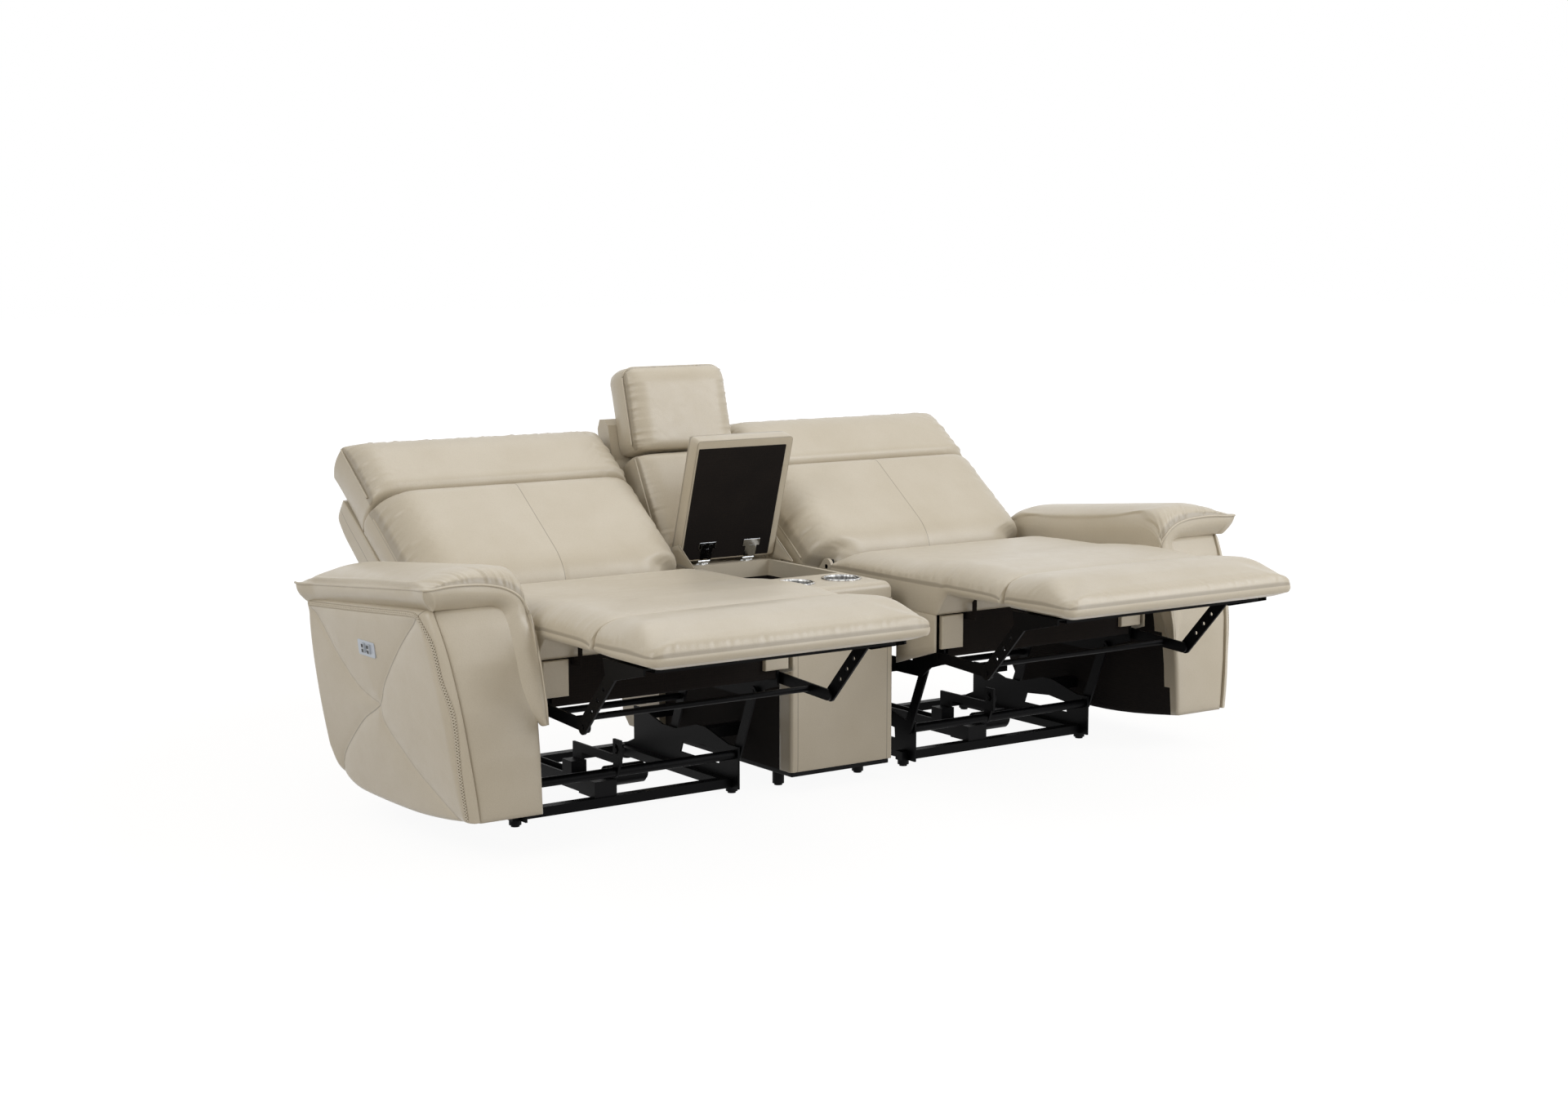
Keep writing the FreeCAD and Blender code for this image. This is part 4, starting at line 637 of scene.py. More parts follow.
def seat_cover():
    """The seat and the first chaise pad under one cover: a top panel whose crown falls towards the feet."""
    y0, y1 = SEAT_Y
    x, y = np.meshgrid(lines(-CHAISE_HALF, CHAISE_HALF, 10.0), lines(y0, y1, 10.0), indexing="ij")
    edge_x = CHAISE_HALF - np.abs(x)
    edge_y = np.minimum(y - y0, y1 - y)
    px, py = corner(x, y, -CHAISE_HALF, CHAISE_HALF, y0, y1, 10.0)
    waist = np.exp(-((y - SEAT_FOLD) / 26.0) ** 2)
    px = px - np.sign(px) * (3.0 * swell(edge_y, 120.0) + 4.0 * waist) * smooth(1.0 - edge_x / 90.0)
    ends = np.where(y < 120.0, 0.86 + 0.14 * swell(y - y0, 46.0), swell(y1 - y, 80.0))
    rise = swell(edge_x, 84.0, 1.9) * ends
    crease = 3.0 * np.exp(-((y - SEAT_FOLD) / 9.0) ** 2) * smooth(1.0 - edge_x / 120.0)
    z = SEAT_EDGE_Z + np.interp(y, *SEAT_CROWN) * rise - crease - pucker(edge_x, y - y0)
    floor = np.interp(y, *SEAT_FLOOR) + 11.0 * smooth(1.0 - edge_x / 50.0) * smooth((30.0 - y) / 40.0)
    low = xyz(px * (1 - 5.0 / CHAISE_HALF), np.clip(py, y0 + 0.4, y1 - 5.0), floor)
    points, faces, depth = boxed(xyz(px, py, z), low, 3.0)
    away = over_top(depth, np.minimum(edge_x, 3.0 * (y - y0) + 20.0), FAR)
    fields = {"away": away, "along": points[:, 1], "piping": over_top(depth, edge_x, depth * 24.0)}
    held = over_top(depth, np.minimum(edge_x, edge_y) < 1.0, depth > 0.9)
    return upholstered("seat_cover_right", points + (SEAT_X, 0.0, 0.0), faces, fine_piped(), fields, held,
                       cap=0.006, gathers=(0.8, 26.0, 21.0, 2.0))


def foot_cover():
    """The far chaise pad: a ridge along its front, low boxing with a seam, folds at the ends of its joint."""
    y0, y1 = FOOT_Y
    ys = lines(y0, y1, 9.0, fine=(0.0, 2.0, 5.0, 9.0, 14.0, 20.0))
    x, y = np.meshgrid(lines(-CHAISE_HALF, CHAISE_HALF, 10.0), ys, indexing="ij")
    edge_x, ahead, behind = CHAISE_HALF - np.abs(x), y - y0, y1 - y
    free = np.minimum(edge_x, ahead)
    px, py = corner(x, y, -CHAISE_HALF, CHAISE_HALF, y0, y1, 30.0)
    px = px * (1.0 + 0.022 * smooth(behind / 110.0))
    ridge = 25.0 * swell(ahead, 15.0) + np.interp(y, [-380, -260, y1], [33, 31, 25]) * smooth(ahead / 130.0)
    side_run = np.interp(behind, FOOT_FROM_JOINT, FOOT_SIDE_RUN)
    rise = ridge * swell(edge_x, side_run, 1.9) * (0.86 + 0.14 * swell(behind, 40.0))
    z = np.interp(behind, FOOT_FROM_JOINT, FOOT_EDGE_Z) + rise - pucker(edge_x, behind)
    floor = FOOT_FLOOR_Z + 12.5 * smooth(1.0 - free / 40.0)
    low = xyz(px * (1 - 4.0 / CHAISE_HALF), np.clip(py, y0 + 4.0, y1 - 0.4), floor)
    points, faces, depth = boxed(xyz(px, py, z), low, 3.0)
    piping = over_top(depth, free, depth * 18.0)
    piping[points[:, 1] > y1 - 2.0] = OFF_SEAM
    fields = {"away": over_top(depth, free, FAR), "along": points[:, 0] + 0.9 * points[:, 1],
              "piping": piping}
    held = over_top(depth, np.minimum(free, behind) < 1.0, depth > 0.9)
    return upholstered("foot_cover_right", points + (SEAT_X, 0.0, 0.0), faces, fine_piped(), fields, held,
                       cap=0.005, gathers=(0.6, 16.0, 17.0, 5.0))


def sloped(points, origin=BACK_ORIGIN, angle=BACK_ANGLE):
    """From a back's own x, v, w to the design frame."""
    y, z = side_point(points[..., 1], points[..., 2], origin, angle)
    return xyz(points[..., 0], y, z)


# Cushions on a sloped back, in its own x, v up the slope and w out from it: underside and seam at the two w.
# round is the corners' radius, run the sides' rise, low and high the run and power of the rise at both ends,
# top the weight of the upper seam's gathers, and gathers their share of the depth, reach, pitch and seed
BACK_PAD = {
    "half": BACK_HALF, "v": (-42.0, 327.5), "w": (-69.0, 0.0), "crown": 90.0, "low": (112.0, 2.1),
    "high": (46.0, 2.4), "round": 8.0, "run": 100.0, "step": 10.0, "bulge": 6.0, "cap": 0.010, "top": 9.0,
    "gathers": (1.5, 34.0, 26.0, 1.0), "shift": SEAT_X, "place": (BACK_ORIGIN, BACK_ANGLE)}
HEAD_PAD = {
    "half": BACK_HALF, "v": (328.8, 527.0), "w": (-69.0, 22.0), "crown": 50.0, "low": (32.0, 2.4),
    "high": (84.0, 2.0), "round": 7.0, "run": 62.0, "step": 9.0, "bulge": 7.0, "cap": 0.008, "top": 3.0,
    "gathers": (1.5, 44.0, 17.0, 4.0), "shift": SEAT_X, "place": (BACK_ORIGIN, BACK_ANGLE)}
CONSOLE_PAD = {
    "half": 151.0, "v": (2.0, 292.0), "w": (-70.0, 0.0), "crown": 30.0, "low": (60.0, 2.0),
    "high": (26.0, 2.6), "round": 10.0, "run": 56.0, "step": 9.0, "bulge": 4.0, "cap": 0.006, "top": 9.0,
    "gathers": (1.0, 18.0, 14.0, 8.0), "shift": 0.0, "place": ((679.0, 479.0), 62.4)}
CONSOLE_ROLL = {
    "half": 151.0, "v": (0.0, 220.0), "w": (-74.0, 0.0), "crown": 36.0, "low": (26.0, 2.6),
    "high": (66.0, 2.2), "round": 34.0, "run": 52.0, "step": 9.0, "bulge": 5.0, "cap": 0.006, "top": 9.0,
    "gathers": (1.5, 24.0, 13.0, 9.0), "shift": 0.0, "place": ((818.0, 744.0), 75.0)}
# Below this v the back cushion is narrower, to clear the seat's plates
NOTCH_HALF = 292.0
NOTCH_V = 12.0


def back_pad(name, pad, centre_seam=False):
    """A cushion on a sloped back: crowned front panel, bowed boxing, and gathers along its outer seams.

    The one with a centre seam is drawn in along it and notched beside the seat."""
    half, (v0, v1), (w_low, w_seam) = pad["half"], pad["v"], pad["w"]
    x, v = np.meshgrid(lines(-half, half, pad["step"]), lines(v0, v1, pad["step"]), indexing="ij")
    edge_x = half - np.abs(x)
    edge_v = np.minimum(v - v0, v1 - v)
    px, pv = corner(x, v, -half, half, v0, v1, pad["round"])
    px = px - np.sign(px) * 4.0 * smooth(1.0 - edge_x / 80.0) * swell(edge_v, 0.4 * (v1 - v0))
    w = w_seam + pad["crown"] * (swell(edge_x, pad["run"], 2.1) * swell(v - v0, *pad["low"])
                                 * swell(v1 - v, *pad["high"]))
    held = np.minimum(edge_x, edge_v) < 1.0
    if centre_seam:
        w = w - 1.6 * np.exp(-(x / 3.2) ** 2)
        held |= np.abs(x) < 1.0
    top = xyz(px, pv, w)
    low = xyz(px * (1 - 5.0 / half), np.clip(pv, v0 + 4.0, v1 - 4.0), w_low)
    if centre_seam:
        reach = NOTCH_HALF + (half - NOTCH_HALF) * smooth((v - NOTCH_V) / 14.0)
        for grid in (top, low):
            grid[..., 0] = np.sign(grid[..., 0]) * np.minimum(np.abs(grid[..., 0]), np.abs(x) / half * reach)
    points, faces, depth = boxed(top, low, pad["bulge"])
    across_front = np.abs(points[:, 0]) <= half - 60.0
    fields = {
        "away": over_top(depth, np.minimum(edge_x, (v1 - v) * pad["top"] + 2.0), FAR),
        "along": points[:, 1] + points[:, 0] * 0.8 * across_front,
        "piping": over_top(depth, np.minimum(edge_x, v1 - v), depth * (w_seam - w_low))}
    if centre_seam:
        fields["seam"] = over_top(depth, x, OFF_SEAM)
    # Painted shade: the centre seam is darkened along its groove, and the piping shade runs round the edge
    hide = leather("leather_taupe_centre_seam_shade", (("seam", 1.5, 0.6), PIPING_SHADE)) if centre_seam else piped()
    return upholstered(name, sloped(points + (pad["shift"], 0.0, 0.0), *pad["place"]), faces, hide, fields,
                       over_top(depth, held, depth > 0.9), pad["cap"], pad["gathers"])


def seam_path(pad, foot, w):
    """Three sides of a sloped cushion's seam, half a millimetre in: up from the foot, over and down again."""
    h, r, v1 = pad["half"] - 0.5, pad["round"], pad["v"][1]
    bend = [(h - r + r * math.cos(a), v1 - r + r * math.sin(a)) for a in np.linspace(0, math.pi / 2, 7)]
    right = [(h, foot), (h, v1 - r)] + bend
    flat = resample(np.array(right + [(-x, v) for x, v in right][::-1]), 8.0)
    return xyz(flat[:, 0], flat[:, 1], w)


def welt(name, path, share=1.0):
    """A rolled seam along a path, in the hide's own leather, with a share of the welts' radius."""
    radius = bpy.context.scene.loveseat_sizes.welt_radius / MM * share
    return tube(name, resample(path, 6.0), radius, leather())


# The outer back: half width, ends up the slope, rear face and its drop at the top, where the boxing ends, and
# the seam beside each edge
SHELL_HALF = 348.0
SHELL_V = (26.0, 470.0)
SHELL_W = -153.0
SHELL_DROP = ((26, 400, 448, 468, 470), (0, 3, 12, 26, 30))
SHELL_REST = ((26, 320, 452, 470), (-69.8, -70.0, -77.5, -92.0))
SHELL_SEAM = SHELL_HALF - 92.0


def outer_back():
    """The covered outer back: a slightly bowed rear panel, rounded at the top, with a boxing strip."""
    v0, v1 = SHELL_V
    x, v = np.meshgrid(lines(-SHELL_HALF, SHELL_HALF, 16.0)[::-1], lines(v0, v1, 16.0), indexing="ij")
    px, pv = corner(x, v, -SHELL_HALF, SHELL_HALF, v0, v1, 26.0)
    edge = np.minimum(SHELL_HALF - np.abs(x), np.minimum(v - v0, v1 - v))
    w = SHELL_W + np.interp(v, *SHELL_DROP) + 9.0 * (1.0 - swell(edge, 12.0))
    w = w + 1.8 * np.exp(-((np.abs(x) - SHELL_SEAM) / 3.5) ** 2)
    top = xyz(px, pv, w)
    points, faces, depth = boxed(top, xyz(px, pv, np.interp(pv, *SHELL_REST)))
    below = np.where(depth < 0.999, (depth - 0.5) * 80.0, OFF_SEAM)
    # Painted shade along the rear panel's two sunk seams
    obj = build("outer_back", sloped(points + (SEAT_X, 0.0, 0.0)), faces,
                leather("leather_taupe_panel_seam_shade", (("seam", 1.4, 0.7),)),
                {"seam": over_top(depth, np.abs(px) - SHELL_SEAM, below)})
    refine(obj)
    return obj


class LOVESEAT_OT_seats(bpy.types.Operator):
    """Builds both seats' covers and foot pads"""

    bl_idname = "loveseat.seats"
    bl_label = "Seat covers"

    def execute(self, context):
        for side, obj in pair(seat_cover(), "seat_cover"):
            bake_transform(obj)
            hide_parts("seat_cushion_" + side, "mid_pad_" + side)
        put_pair(foot_cover(), "foot_cover", "footrest_{}", ["foot_pad_{}"])
        return {"FINISHED"}


class LOVESEAT_OT_backs(bpy.types.Operator):
    """Builds the back cushions, the headrests, their rolled seams and the outer backs"""

    bl_idname = "loveseat.backs"
    bl_label = "Backs and headrests"

    def execute(self, context):
        cushion = back_pad("back_pad", BACK_PAD, centre_seam=True)
        put_pair(cushion, "back_pad", "back_{}", ["back_cushion_{}"])
        put_pair(back_pad("head_pad", HEAD_PAD), "head_pad", "head_{}", ["headrest_{}"])
        for side, sx in SIDES:
            seat = (sx * SEAT_X, 0.0, 0.0)
            put(welt("head_welt_" + side, sloped(seam_path(HEAD_PAD, 350.0, 22.5) + seat)), "head_" + side)
            for word, s in (("in", -1.0), ("out", 1.0)):
                rail = np.array([(s * (BACK_HALF - 3.0), v, 0.6) for v in (44.0, 120.0, 200.0, 300.0)])
                rail[1:3, 0] -= s * 2.5
                rail = sloped(curve_through(rail, 8.0) + seat)
                put(welt("back_welt_%s_%s" % (word, side), rail), "back_" + side)
        put_pair(outer_back(), "outer_back", "back_{}", ["back_shell_{}"])
        return {"FINISHED"}


# Arms

FRONT_LINE = ((94, 123, 219, 325, 417, 490, 520, 533), (-59, -57, -51, -38, -15, 12, 28, 36))


def front_line(z):
    """The arm's front edge in the side view: y at a height, through the measured points."""
    return np.interp(z, *FRONT_LINE)


def control_grid(rows, count):
    """Smooth curves through each row of control points, by Catmull-Rom pieces with equal parameters."""
    rows = np.asarray(rows, float)
    ext = np.concatenate([2 * rows[:, :1] - rows[:, 1:2], rows, 2 * rows[:, -1:] - rows[:, -2:-1]], 1)
    spans = rows.shape[1] - 1
    u = np.linspace(0.0, spans, count)
    k = np.minimum(u.astype(int), spans - 1)
    t = (u - k)[None, :, None]
    return catmull_rom(*(ext[:, k + j] for j in range(4)), t)


# The arm pillow: its length, the points across it, the length of its turn at both ends, and the front hem's z
PAD_LENGTH = 634.0
PAD_CURVE = 74
PAD_TURN = 78.0
PAD_HEM_Z = 281.0
# Its sections from the outer edge over the top to the inner facing: x and z at the front seam, and x and the
# height above the pad's floor in the middle (FULL) and at the rear end
FRONT_TOP = (
    (1150, 579), (1120, 579), (1085, 581), (1040, 580), (990, 575), (946, 562), (914, 536), (899, 492),
    (896, 422), (895, 351), (895, 281))
FRONT_LOW = (
    (1122, 531), (1108, 530), (1085, 530), (1055, 529), (1016, 528), (977, 526), (957, 505), (953, 440),
    (950, 380), (933, 320), (903, 277))
FULL_TOP = ((1128, 70), (1102, 84), (1056, 95), (1005, 98), (955, 94), (916, 77), (899, 46), (896, 8))
FULL_LOW = (
    (1112, 1), (1096, 0), (1075, -1), (1050, -1), (1020, -1), (985, -1), (945, -1), (908, -3), (905, -10))
REAR_TOP = (
    (1150, 55), (1115, 53), (1080, 52), (1040, 51), (1000, 49), (960, 45), (926, 38), (904, 20), (897, 2),
    (896, -6))
REAR_LOW = (
    (1124, 8), (1108, 2), (1080, 0), (1050, 0), (1015, 0), (975, 0), (935, 0), (908, -4), (905, -8),
    (904.5, -12))


def pad_floor(y):
    """Height of the arm pad's underside, which falls towards the back."""
    return 527.5 - 0.096 * y


def pad_sections(ys):
    """The pillow's top and underside as x, z grids, with a row for each place along the arm.

    Each row is blended from the front seam's section to the full one and on to the rear seam's."""
    floor = pad_floor(ys)
    hem = PAD_HEM_Z + (floor - 16.0 - PAD_HEM_Z) * smooth(ys / 120.0)
    flare = 1.0 - np.minimum(1.0, np.minimum(ys, PAD_LENGTH - ys) / 75.0)
    rows = {"full": [], "rear": [], "full_low": [], "rear_low": []}
    for z0, z_hem, outer in zip(floor, hem, 1139.0 + 11.0 * flare ** 1.5):
        middle = 0.5 * (z0 + z_hem)
        raised = {key: [(x, z0 + h) for x, h in part] for key, part in
                  (("full", FULL_TOP), ("rear", REAR_TOP), ("full_low", FULL_LOW), ("rear_low", REAR_LOW))}
        rows["full"].append([(outer, z0 + 52)] + raised["full"] + [(896, middle), (896, z_hem)])
        rows["rear"].append(raised["rear"] + [(896, z_hem)])
        rows["full_low"].append(raised["full_low"] + [(904.5, middle), (904.5, z_hem)])
        rows["rear_low"].append(raised["rear_low"] + [(904.5, z_hem)])
    rows = {key: control_grid(part, PAD_CURVE) for key, part in rows.items()}
    y = ys[:, None]
    left = PAD_LENGTH - y
    share = np.stack([smooth(y / PAD_TURN), swell(y, PAD_TURN)], -1)
    top = control_grid([FRONT_TOP], PAD_CURVE)
    top = top + (rows["full"] - top) * share
    rear_share = np.stack([smooth(left / PAD_TURN), swell(left, PAD_TURN)], -1)
    top = rows["rear"] + (top - rows["rear"]) * np.where(y[..., None] < 300.0, 1.0, rear_share)
    low = control_grid([FRONT_LOW], PAD_CURVE)
    low = low + (rows["full_low"] - low) * smooth(y / 40.0)[..., None]
    rear_share = np.where(y < 300.0, 1.0, smooth(left / 40.0))[..., None]
    low = rows["rear_low"] + (low - rows["rear_low"]) * rear_share
    return top, low


def pad_starts(top, low):
    """Where the pillow's top and underside start in y: straight above, along the arm's front further down."""
    drop = smooth((548.0 - top[:, 1]) / 50.0)
    lead = np.where(top[:, 1] > 500.0, 6.0 + 12.0 * np.exp(-((top[:, 0] - 1000.0) / 90.0) ** 2), 6.0)
    lead = lead * (1.0 - smooth((top[:, 0] - 1100.0) / 50.0))
    start_top = lead * (1 - drop) + (front_line(top[:, 1]) - 8.0) * drop
    drop = smooth((526.0 - low[:, 1]) / 30.0)
    lead = np.interp(low[:, 0], [980, 1112, 1125], [34, 30, 12])
    return start_top, lead * (1 - drop) + (front_line(low[:, 1]) + 4.0) * drop


def pad_noses(n, m):
    """Which way the pillow's boxing bows round its border: forwards, backwards, out, a little in."""
    way = np.zeros((n, m, 3))
    way[:, 0] = (0.0, -1.0, 0.0)
    way[:, -1] = (0.0, 1.0, 0.0)
    way[0, 1:-1] = (1.0, 0.0, 0.0)
    way[-1, 1:-1] = (-0.2, 0.0, 0.0)
    for i, t in enumerate(np.linspace(0.0, 1.0, 5)):
        way[i, 0] = (1.0 - t, -t, 0.0)
        way[i, -1] = (1.0 - t, t, 0.0)
    return way.reshape(-1, 3)[border(np.arange(n * m).reshape(n, m))]


def arm_pillow():
    """The arm's pillow: a gathered top panel that runs down the inner front as a facing, and a bowed boxing.

    The top panel blends from the front seam's curve to a full section and back to the rear seam's, as it goes
    along the arm; the rise is a quarter of an ellipse. Returns the piece and its seam's path."""
    ys = np.concatenate([[0, 3, 8, 14, 22, 32, 44, 58, 74], np.arange(90.0, 560.0, 12.0),
                         [566, 580, 594, 606, 616, 624, 630, PAD_LENGTH]])
    top, low = pad_sections(ys)
    share = (ys / PAD_LENGTH)[:, None]
    start_top, start_low = pad_starts(top[0], low[0])
    top_y = start_top + (PAD_LENGTH - start_top) * share
    low_y = start_low + (PAD_LENGTH - 14.0 - start_low) * share
    top = xyz(top[..., 0], top_y, top[..., 1]).transpose(1, 0, 2)
    low = xyz(low[..., 0], low_y, low[..., 1]).transpose(1, 0, 2)
    n, m = top.shape[:2]
    points, faces, depth = boxed(top, low, 9.0, nose=pad_noses(n, m), rows=7)
    seam_away = np.minimum(top_y - start_top, (PAD_LENGTH - top_y) * 1.4).T
    across_run = np.cumsum(np.linalg.norm(np.diff(top[:, 20], axis=0), axis=1))
    along = np.concatenate([[0.0], across_run])[:, None] + 0.35 * seam_away
    rim = np.ones((n, m), bool)
    rim[1:-1, 1:-1] = False
    fields = {
        "away": over_top(depth, seam_away, FAR),
        "along": over_top(depth, along, 0.0),
        "piping": over_top(depth, seam_away, depth * 52.0)}
    obj = upholstered("arm_pillow", points, faces, piped(), fields, over_top(depth, rim, depth > 0.9), 0.007,
                      (1.3, 20.0, 15.0, 6.0))
    return obj, np.concatenate([top[::-1, 0], top[0, 1:]])


def leaned(points):
    """Tips a flat panel's points outwards at the top, about its foot, by the arm's lean."""
    dx, dz = points[..., 0] - WING_FOOT[0], points[..., 2] - WING_FOOT[1]
    c, s = math.cos(ARM_LEAN), math.sin(ARM_LEAN)
    return xyz(WING_FOOT[0] + dx * c + dz * s, points[..., 1], WING_FOOT[1] - dx * s + dz * c)


# The side panel's edges, quilting seams and braid as y, z in its own plane
WING_EDGES = {
    "front": [(-59, 94), (-57, 150), (-51, 219), (-38, 325), (-14, 424), (9, 482), (36, 533)],
    "rear": [(604, 150), (616, 240), (623, 336), (624, 410), (622, 486)],
    "under": [(-59, 94), (80, 78), (213, 69), (400, 68), (494, 74), (570, 100), (604, 150)],
    "top": [(36, 533), (240, 517), (444, 501), (622, 486)],
}
QUILT = {
    "seam_a": [(40, 540), (65, 516), (125, 473), (184, 426), (266, 348), (307, 291), (397, 245), (482, 183),
               (531, 138), (546, 100), (552, 60)],
    "seam_b": [(640, 505), (561, 442), (493, 378), (411, 323), (359, 305), (307, 291), (294, 253), (238, 214),
               (163, 169), (75, 129), (-10, 92)],
}
BRAID = [(600, 479), (548, 483), (298, 503), (110, 519), (66, 519), (52, 508), (17, 463), (-6, 390),
         (-30, 315), (-36, 196), (-41, 104)]


def line_distance(points, path):
    """Signed distance in the plane from each point to a broken line; the sign is its side."""
    best = np.full(len(points), 1e9)
    sign = np.ones(len(points))
    for a, b in zip(path[:-1], path[1:]):
        d = b - a
        t = np.clip(((points - a) @ d) / (d @ d), 0.0, 1.0)
        gap = points - (a + t[:, None] * d)
        size = np.linalg.norm(gap, axis=1)
        turn = d[0] * gap[:, 1] - d[1] * gap[:, 0]
        nearer = size < best
        best = np.where(nearer, size, best)
        sign = np.where(nearer, np.where(turn < 0, -1.0, 1.0), sign)
    return best * sign


def wing_rise(flat):
    """How far the side panel stands out at y, z: rolled edges, pillows between its seams, a set-in band."""
    edge = {key: np.abs(line_distance(flat, curve_through(path, 8.0))) for key, path in WING_EDGES.items()}
    roll = 25.0 * (1.0 - swell(edge["front"], 38.0)) + 12.0 * (1.0 - swell(edge["top"], 15.0))
    roll = np.maximum(roll, 14.0 * (1.0 - swell(np.minimum(edge["rear"], edge["under"]), 16.0)))
    roll = np.minimum(roll, WING_T - 0.6)
    gap = np.minimum(*(np.abs(line_distance(flat, curve_through(path, 8.0))) for path in QUILT.values()))
    pillow = 8.0 * (1.0 - np.exp(-gap / 42.0)) - 5.0 - 2.4 * np.exp(-(gap / 4.0) ** 2)
    inner = smooth(np.minimum(edge["front"] - 14.0, edge["top"] - 10.0) / 24.0)
    band = np.abs(line_distance(flat, curve_through(BRAID, 6.0)))
    return -roll + pillow * inner - 1.6 * (1.0 - smooth((band - 4.0) / 4.0))


def closer_at_ends(count, cut):
    """Shares from 0 to 1, closer at both ends: half a cosine with the cut's share left off each end."""
    share = 0.5 - 0.5 * np.cos(math.pi * (cut + (1.0 - 2.0 * cut) * np.linspace(0, 1, count)))
    return (share - share[0]) / (share[-1] - share[0])


def along_path(path, share):
    """Points at the given shares of a smooth path's length."""
    path = curve_through(path, 4.0)
    run = np.concatenate([[0.0], np.cumsum(np.linalg.norm(np.diff(path, axis=0), axis=1))])
    return np.stack([np.interp(share * run[-1], run, path[:, k]) for k in (0, 1)], -1)


def wing_panel():
    """The quilted side panel: a patch between four measured edges, stood out by the quilting and leaned."""
    s, t = closer_at_ends(92, 0.06), closer_at_ends(66, 0.08)
    front, rear = along_path(WING_EDGES["front"], t), along_path(WING_EDGES["rear"], t)
    under, top = along_path(WING_EDGES["under"], s), along_path(WING_EDGES["top"], s)
    a, b = s[:, None, None], t[None, :, None]
    flat = (1 - a) * front[None] + a * rear[None] + (1 - b) * under[:, None] + b * top[:, None]
    flat -= (1 - a) * ((1 - b) * front[0] + b * front[-1]) + a * ((1 - b) * rear[0] + b * rear[-1])
    rise = wing_rise(flat.reshape(-1, 2)).reshape(flat.shape[:2])
    face = xyz(WING_FOOT[0] + rise, flat[..., 0], flat[..., 1])
    backing = xyz(WING_FOOT[0] - WING_T + 0.3, flat[..., 0], flat[..., 1])
    points, faces, depth = boxed(face, backing, rows=3)
    fields = {key: line_distance(points[:, 1:], curve_through(path, 8.0)) for key, path in QUILT.items()}
    fields["band"] = line_distance(points[:, 1:], curve_through(BRAID, 6.0))
    fields = {key: np.where(depth < 0.01, distance, OFF_SEAM) for key, distance in fields.items()}
    # Painted shade in the quilting seams' grooves, stronger along one seam than the other, and along the
    # braid's set-in band
    hide = leather("leather_taupe_quilt_seam_shade", (("seam_a", 2.0, 0.6), ("seam_b", 1.8, 0.3), ("band", 6.5, 0.3)))
    obj = build("wing_panel", leaned(points), faces, hide, fields)
    refine(obj)
    return obj


# One stitch of the braid: its rings, their sides, half its length along and across the band, and its radii
STITCH_RINGS = 5
STITCH_SIDES = 6
STITCH_ALONG = 4.0
STITCH_ACROSS = 5.0
STITCH_RADIUS = 1.35 * np.array([0.55, 1.0, 1.0, 1.0, 0.55])


def braid():
    """The braided band near the side panel's top and front edges: crossed threads every few millimetres."""
    path = curve_through(BRAID, 6.4)
    d = unit(np.gradient(path, axis=0))
    n = np.stack([-d[:, 1], d[:, 0]], -1)
    turn = np.linspace(0, 2 * math.pi, STITCH_SIDES, endpoint=False)[None, None, :, None]
    t = np.linspace(0.0, 1.0, STITCH_RINGS)[None, :, None]
    size = STITCH_RINGS * STITCH_SIDES
    grid = np.arange(size).reshape(STITCH_RINGS, STITCH_SIDES)
    tube_faces = quads(np.concatenate([grid, grid[:, :1]], 1))
    caps = np.array([[5, 4, 3, 2], [5, 2, 1, 0], [24, 25, 26, 27], [24, 27, 28, 29]])
    strips, faces = [], []
    for row, slant in enumerate((1.0, -1.0)):
        half = n * STITCH_ACROSS + d * STITCH_ALONG * slant
        line = (path - half)[:, None] * (1 - t) + (path + half)[:, None] * t
        out = wing_rise(line.reshape(-1, 2)).reshape(line.shape[:2])
        arch = 0.6 + 1.0 * np.sin(math.pi * t[..., 0])
        centre = xyz(WING_FOOT[0] + out + arch, line[..., 0], line[..., 1])
        way = unit(np.gradient(centre, axis=1))
        up = unit(np.cross(way, (1.0, 0.0, 0.0)))
        over = np.cross(up, way)
        circle = np.cos(turn) * up[:, :, None] + np.sin(turn) * over[:, :, None]
        strips.append((centre[:, :, None] + STITCH_RADIUS[None, :, None, None] * circle).reshape(-1, 3))
        first = size * (row * len(path) + np.arange(len(path)))[:, None, None]
        faces += [(part[None] + first).reshape(-1, 4) for part in (tube_faces, caps)]
    return build("wing_braid", leaned(np.concatenate(strips)), np.concatenate(faces), thread())


# The arm box's heights, and by height its rear edge and how far the leather turns onto the inner side
ARM_BOX_Z = (94.0, 530.0)
ARM_REAR = ((94, 150, 336, 480, 520), (560, 597, 617, 616, 616))
ARM_REAR_TOP = 464.0
ARM_STRIP = ((94, 300, 430, 540), (28, 62, 110, 700))


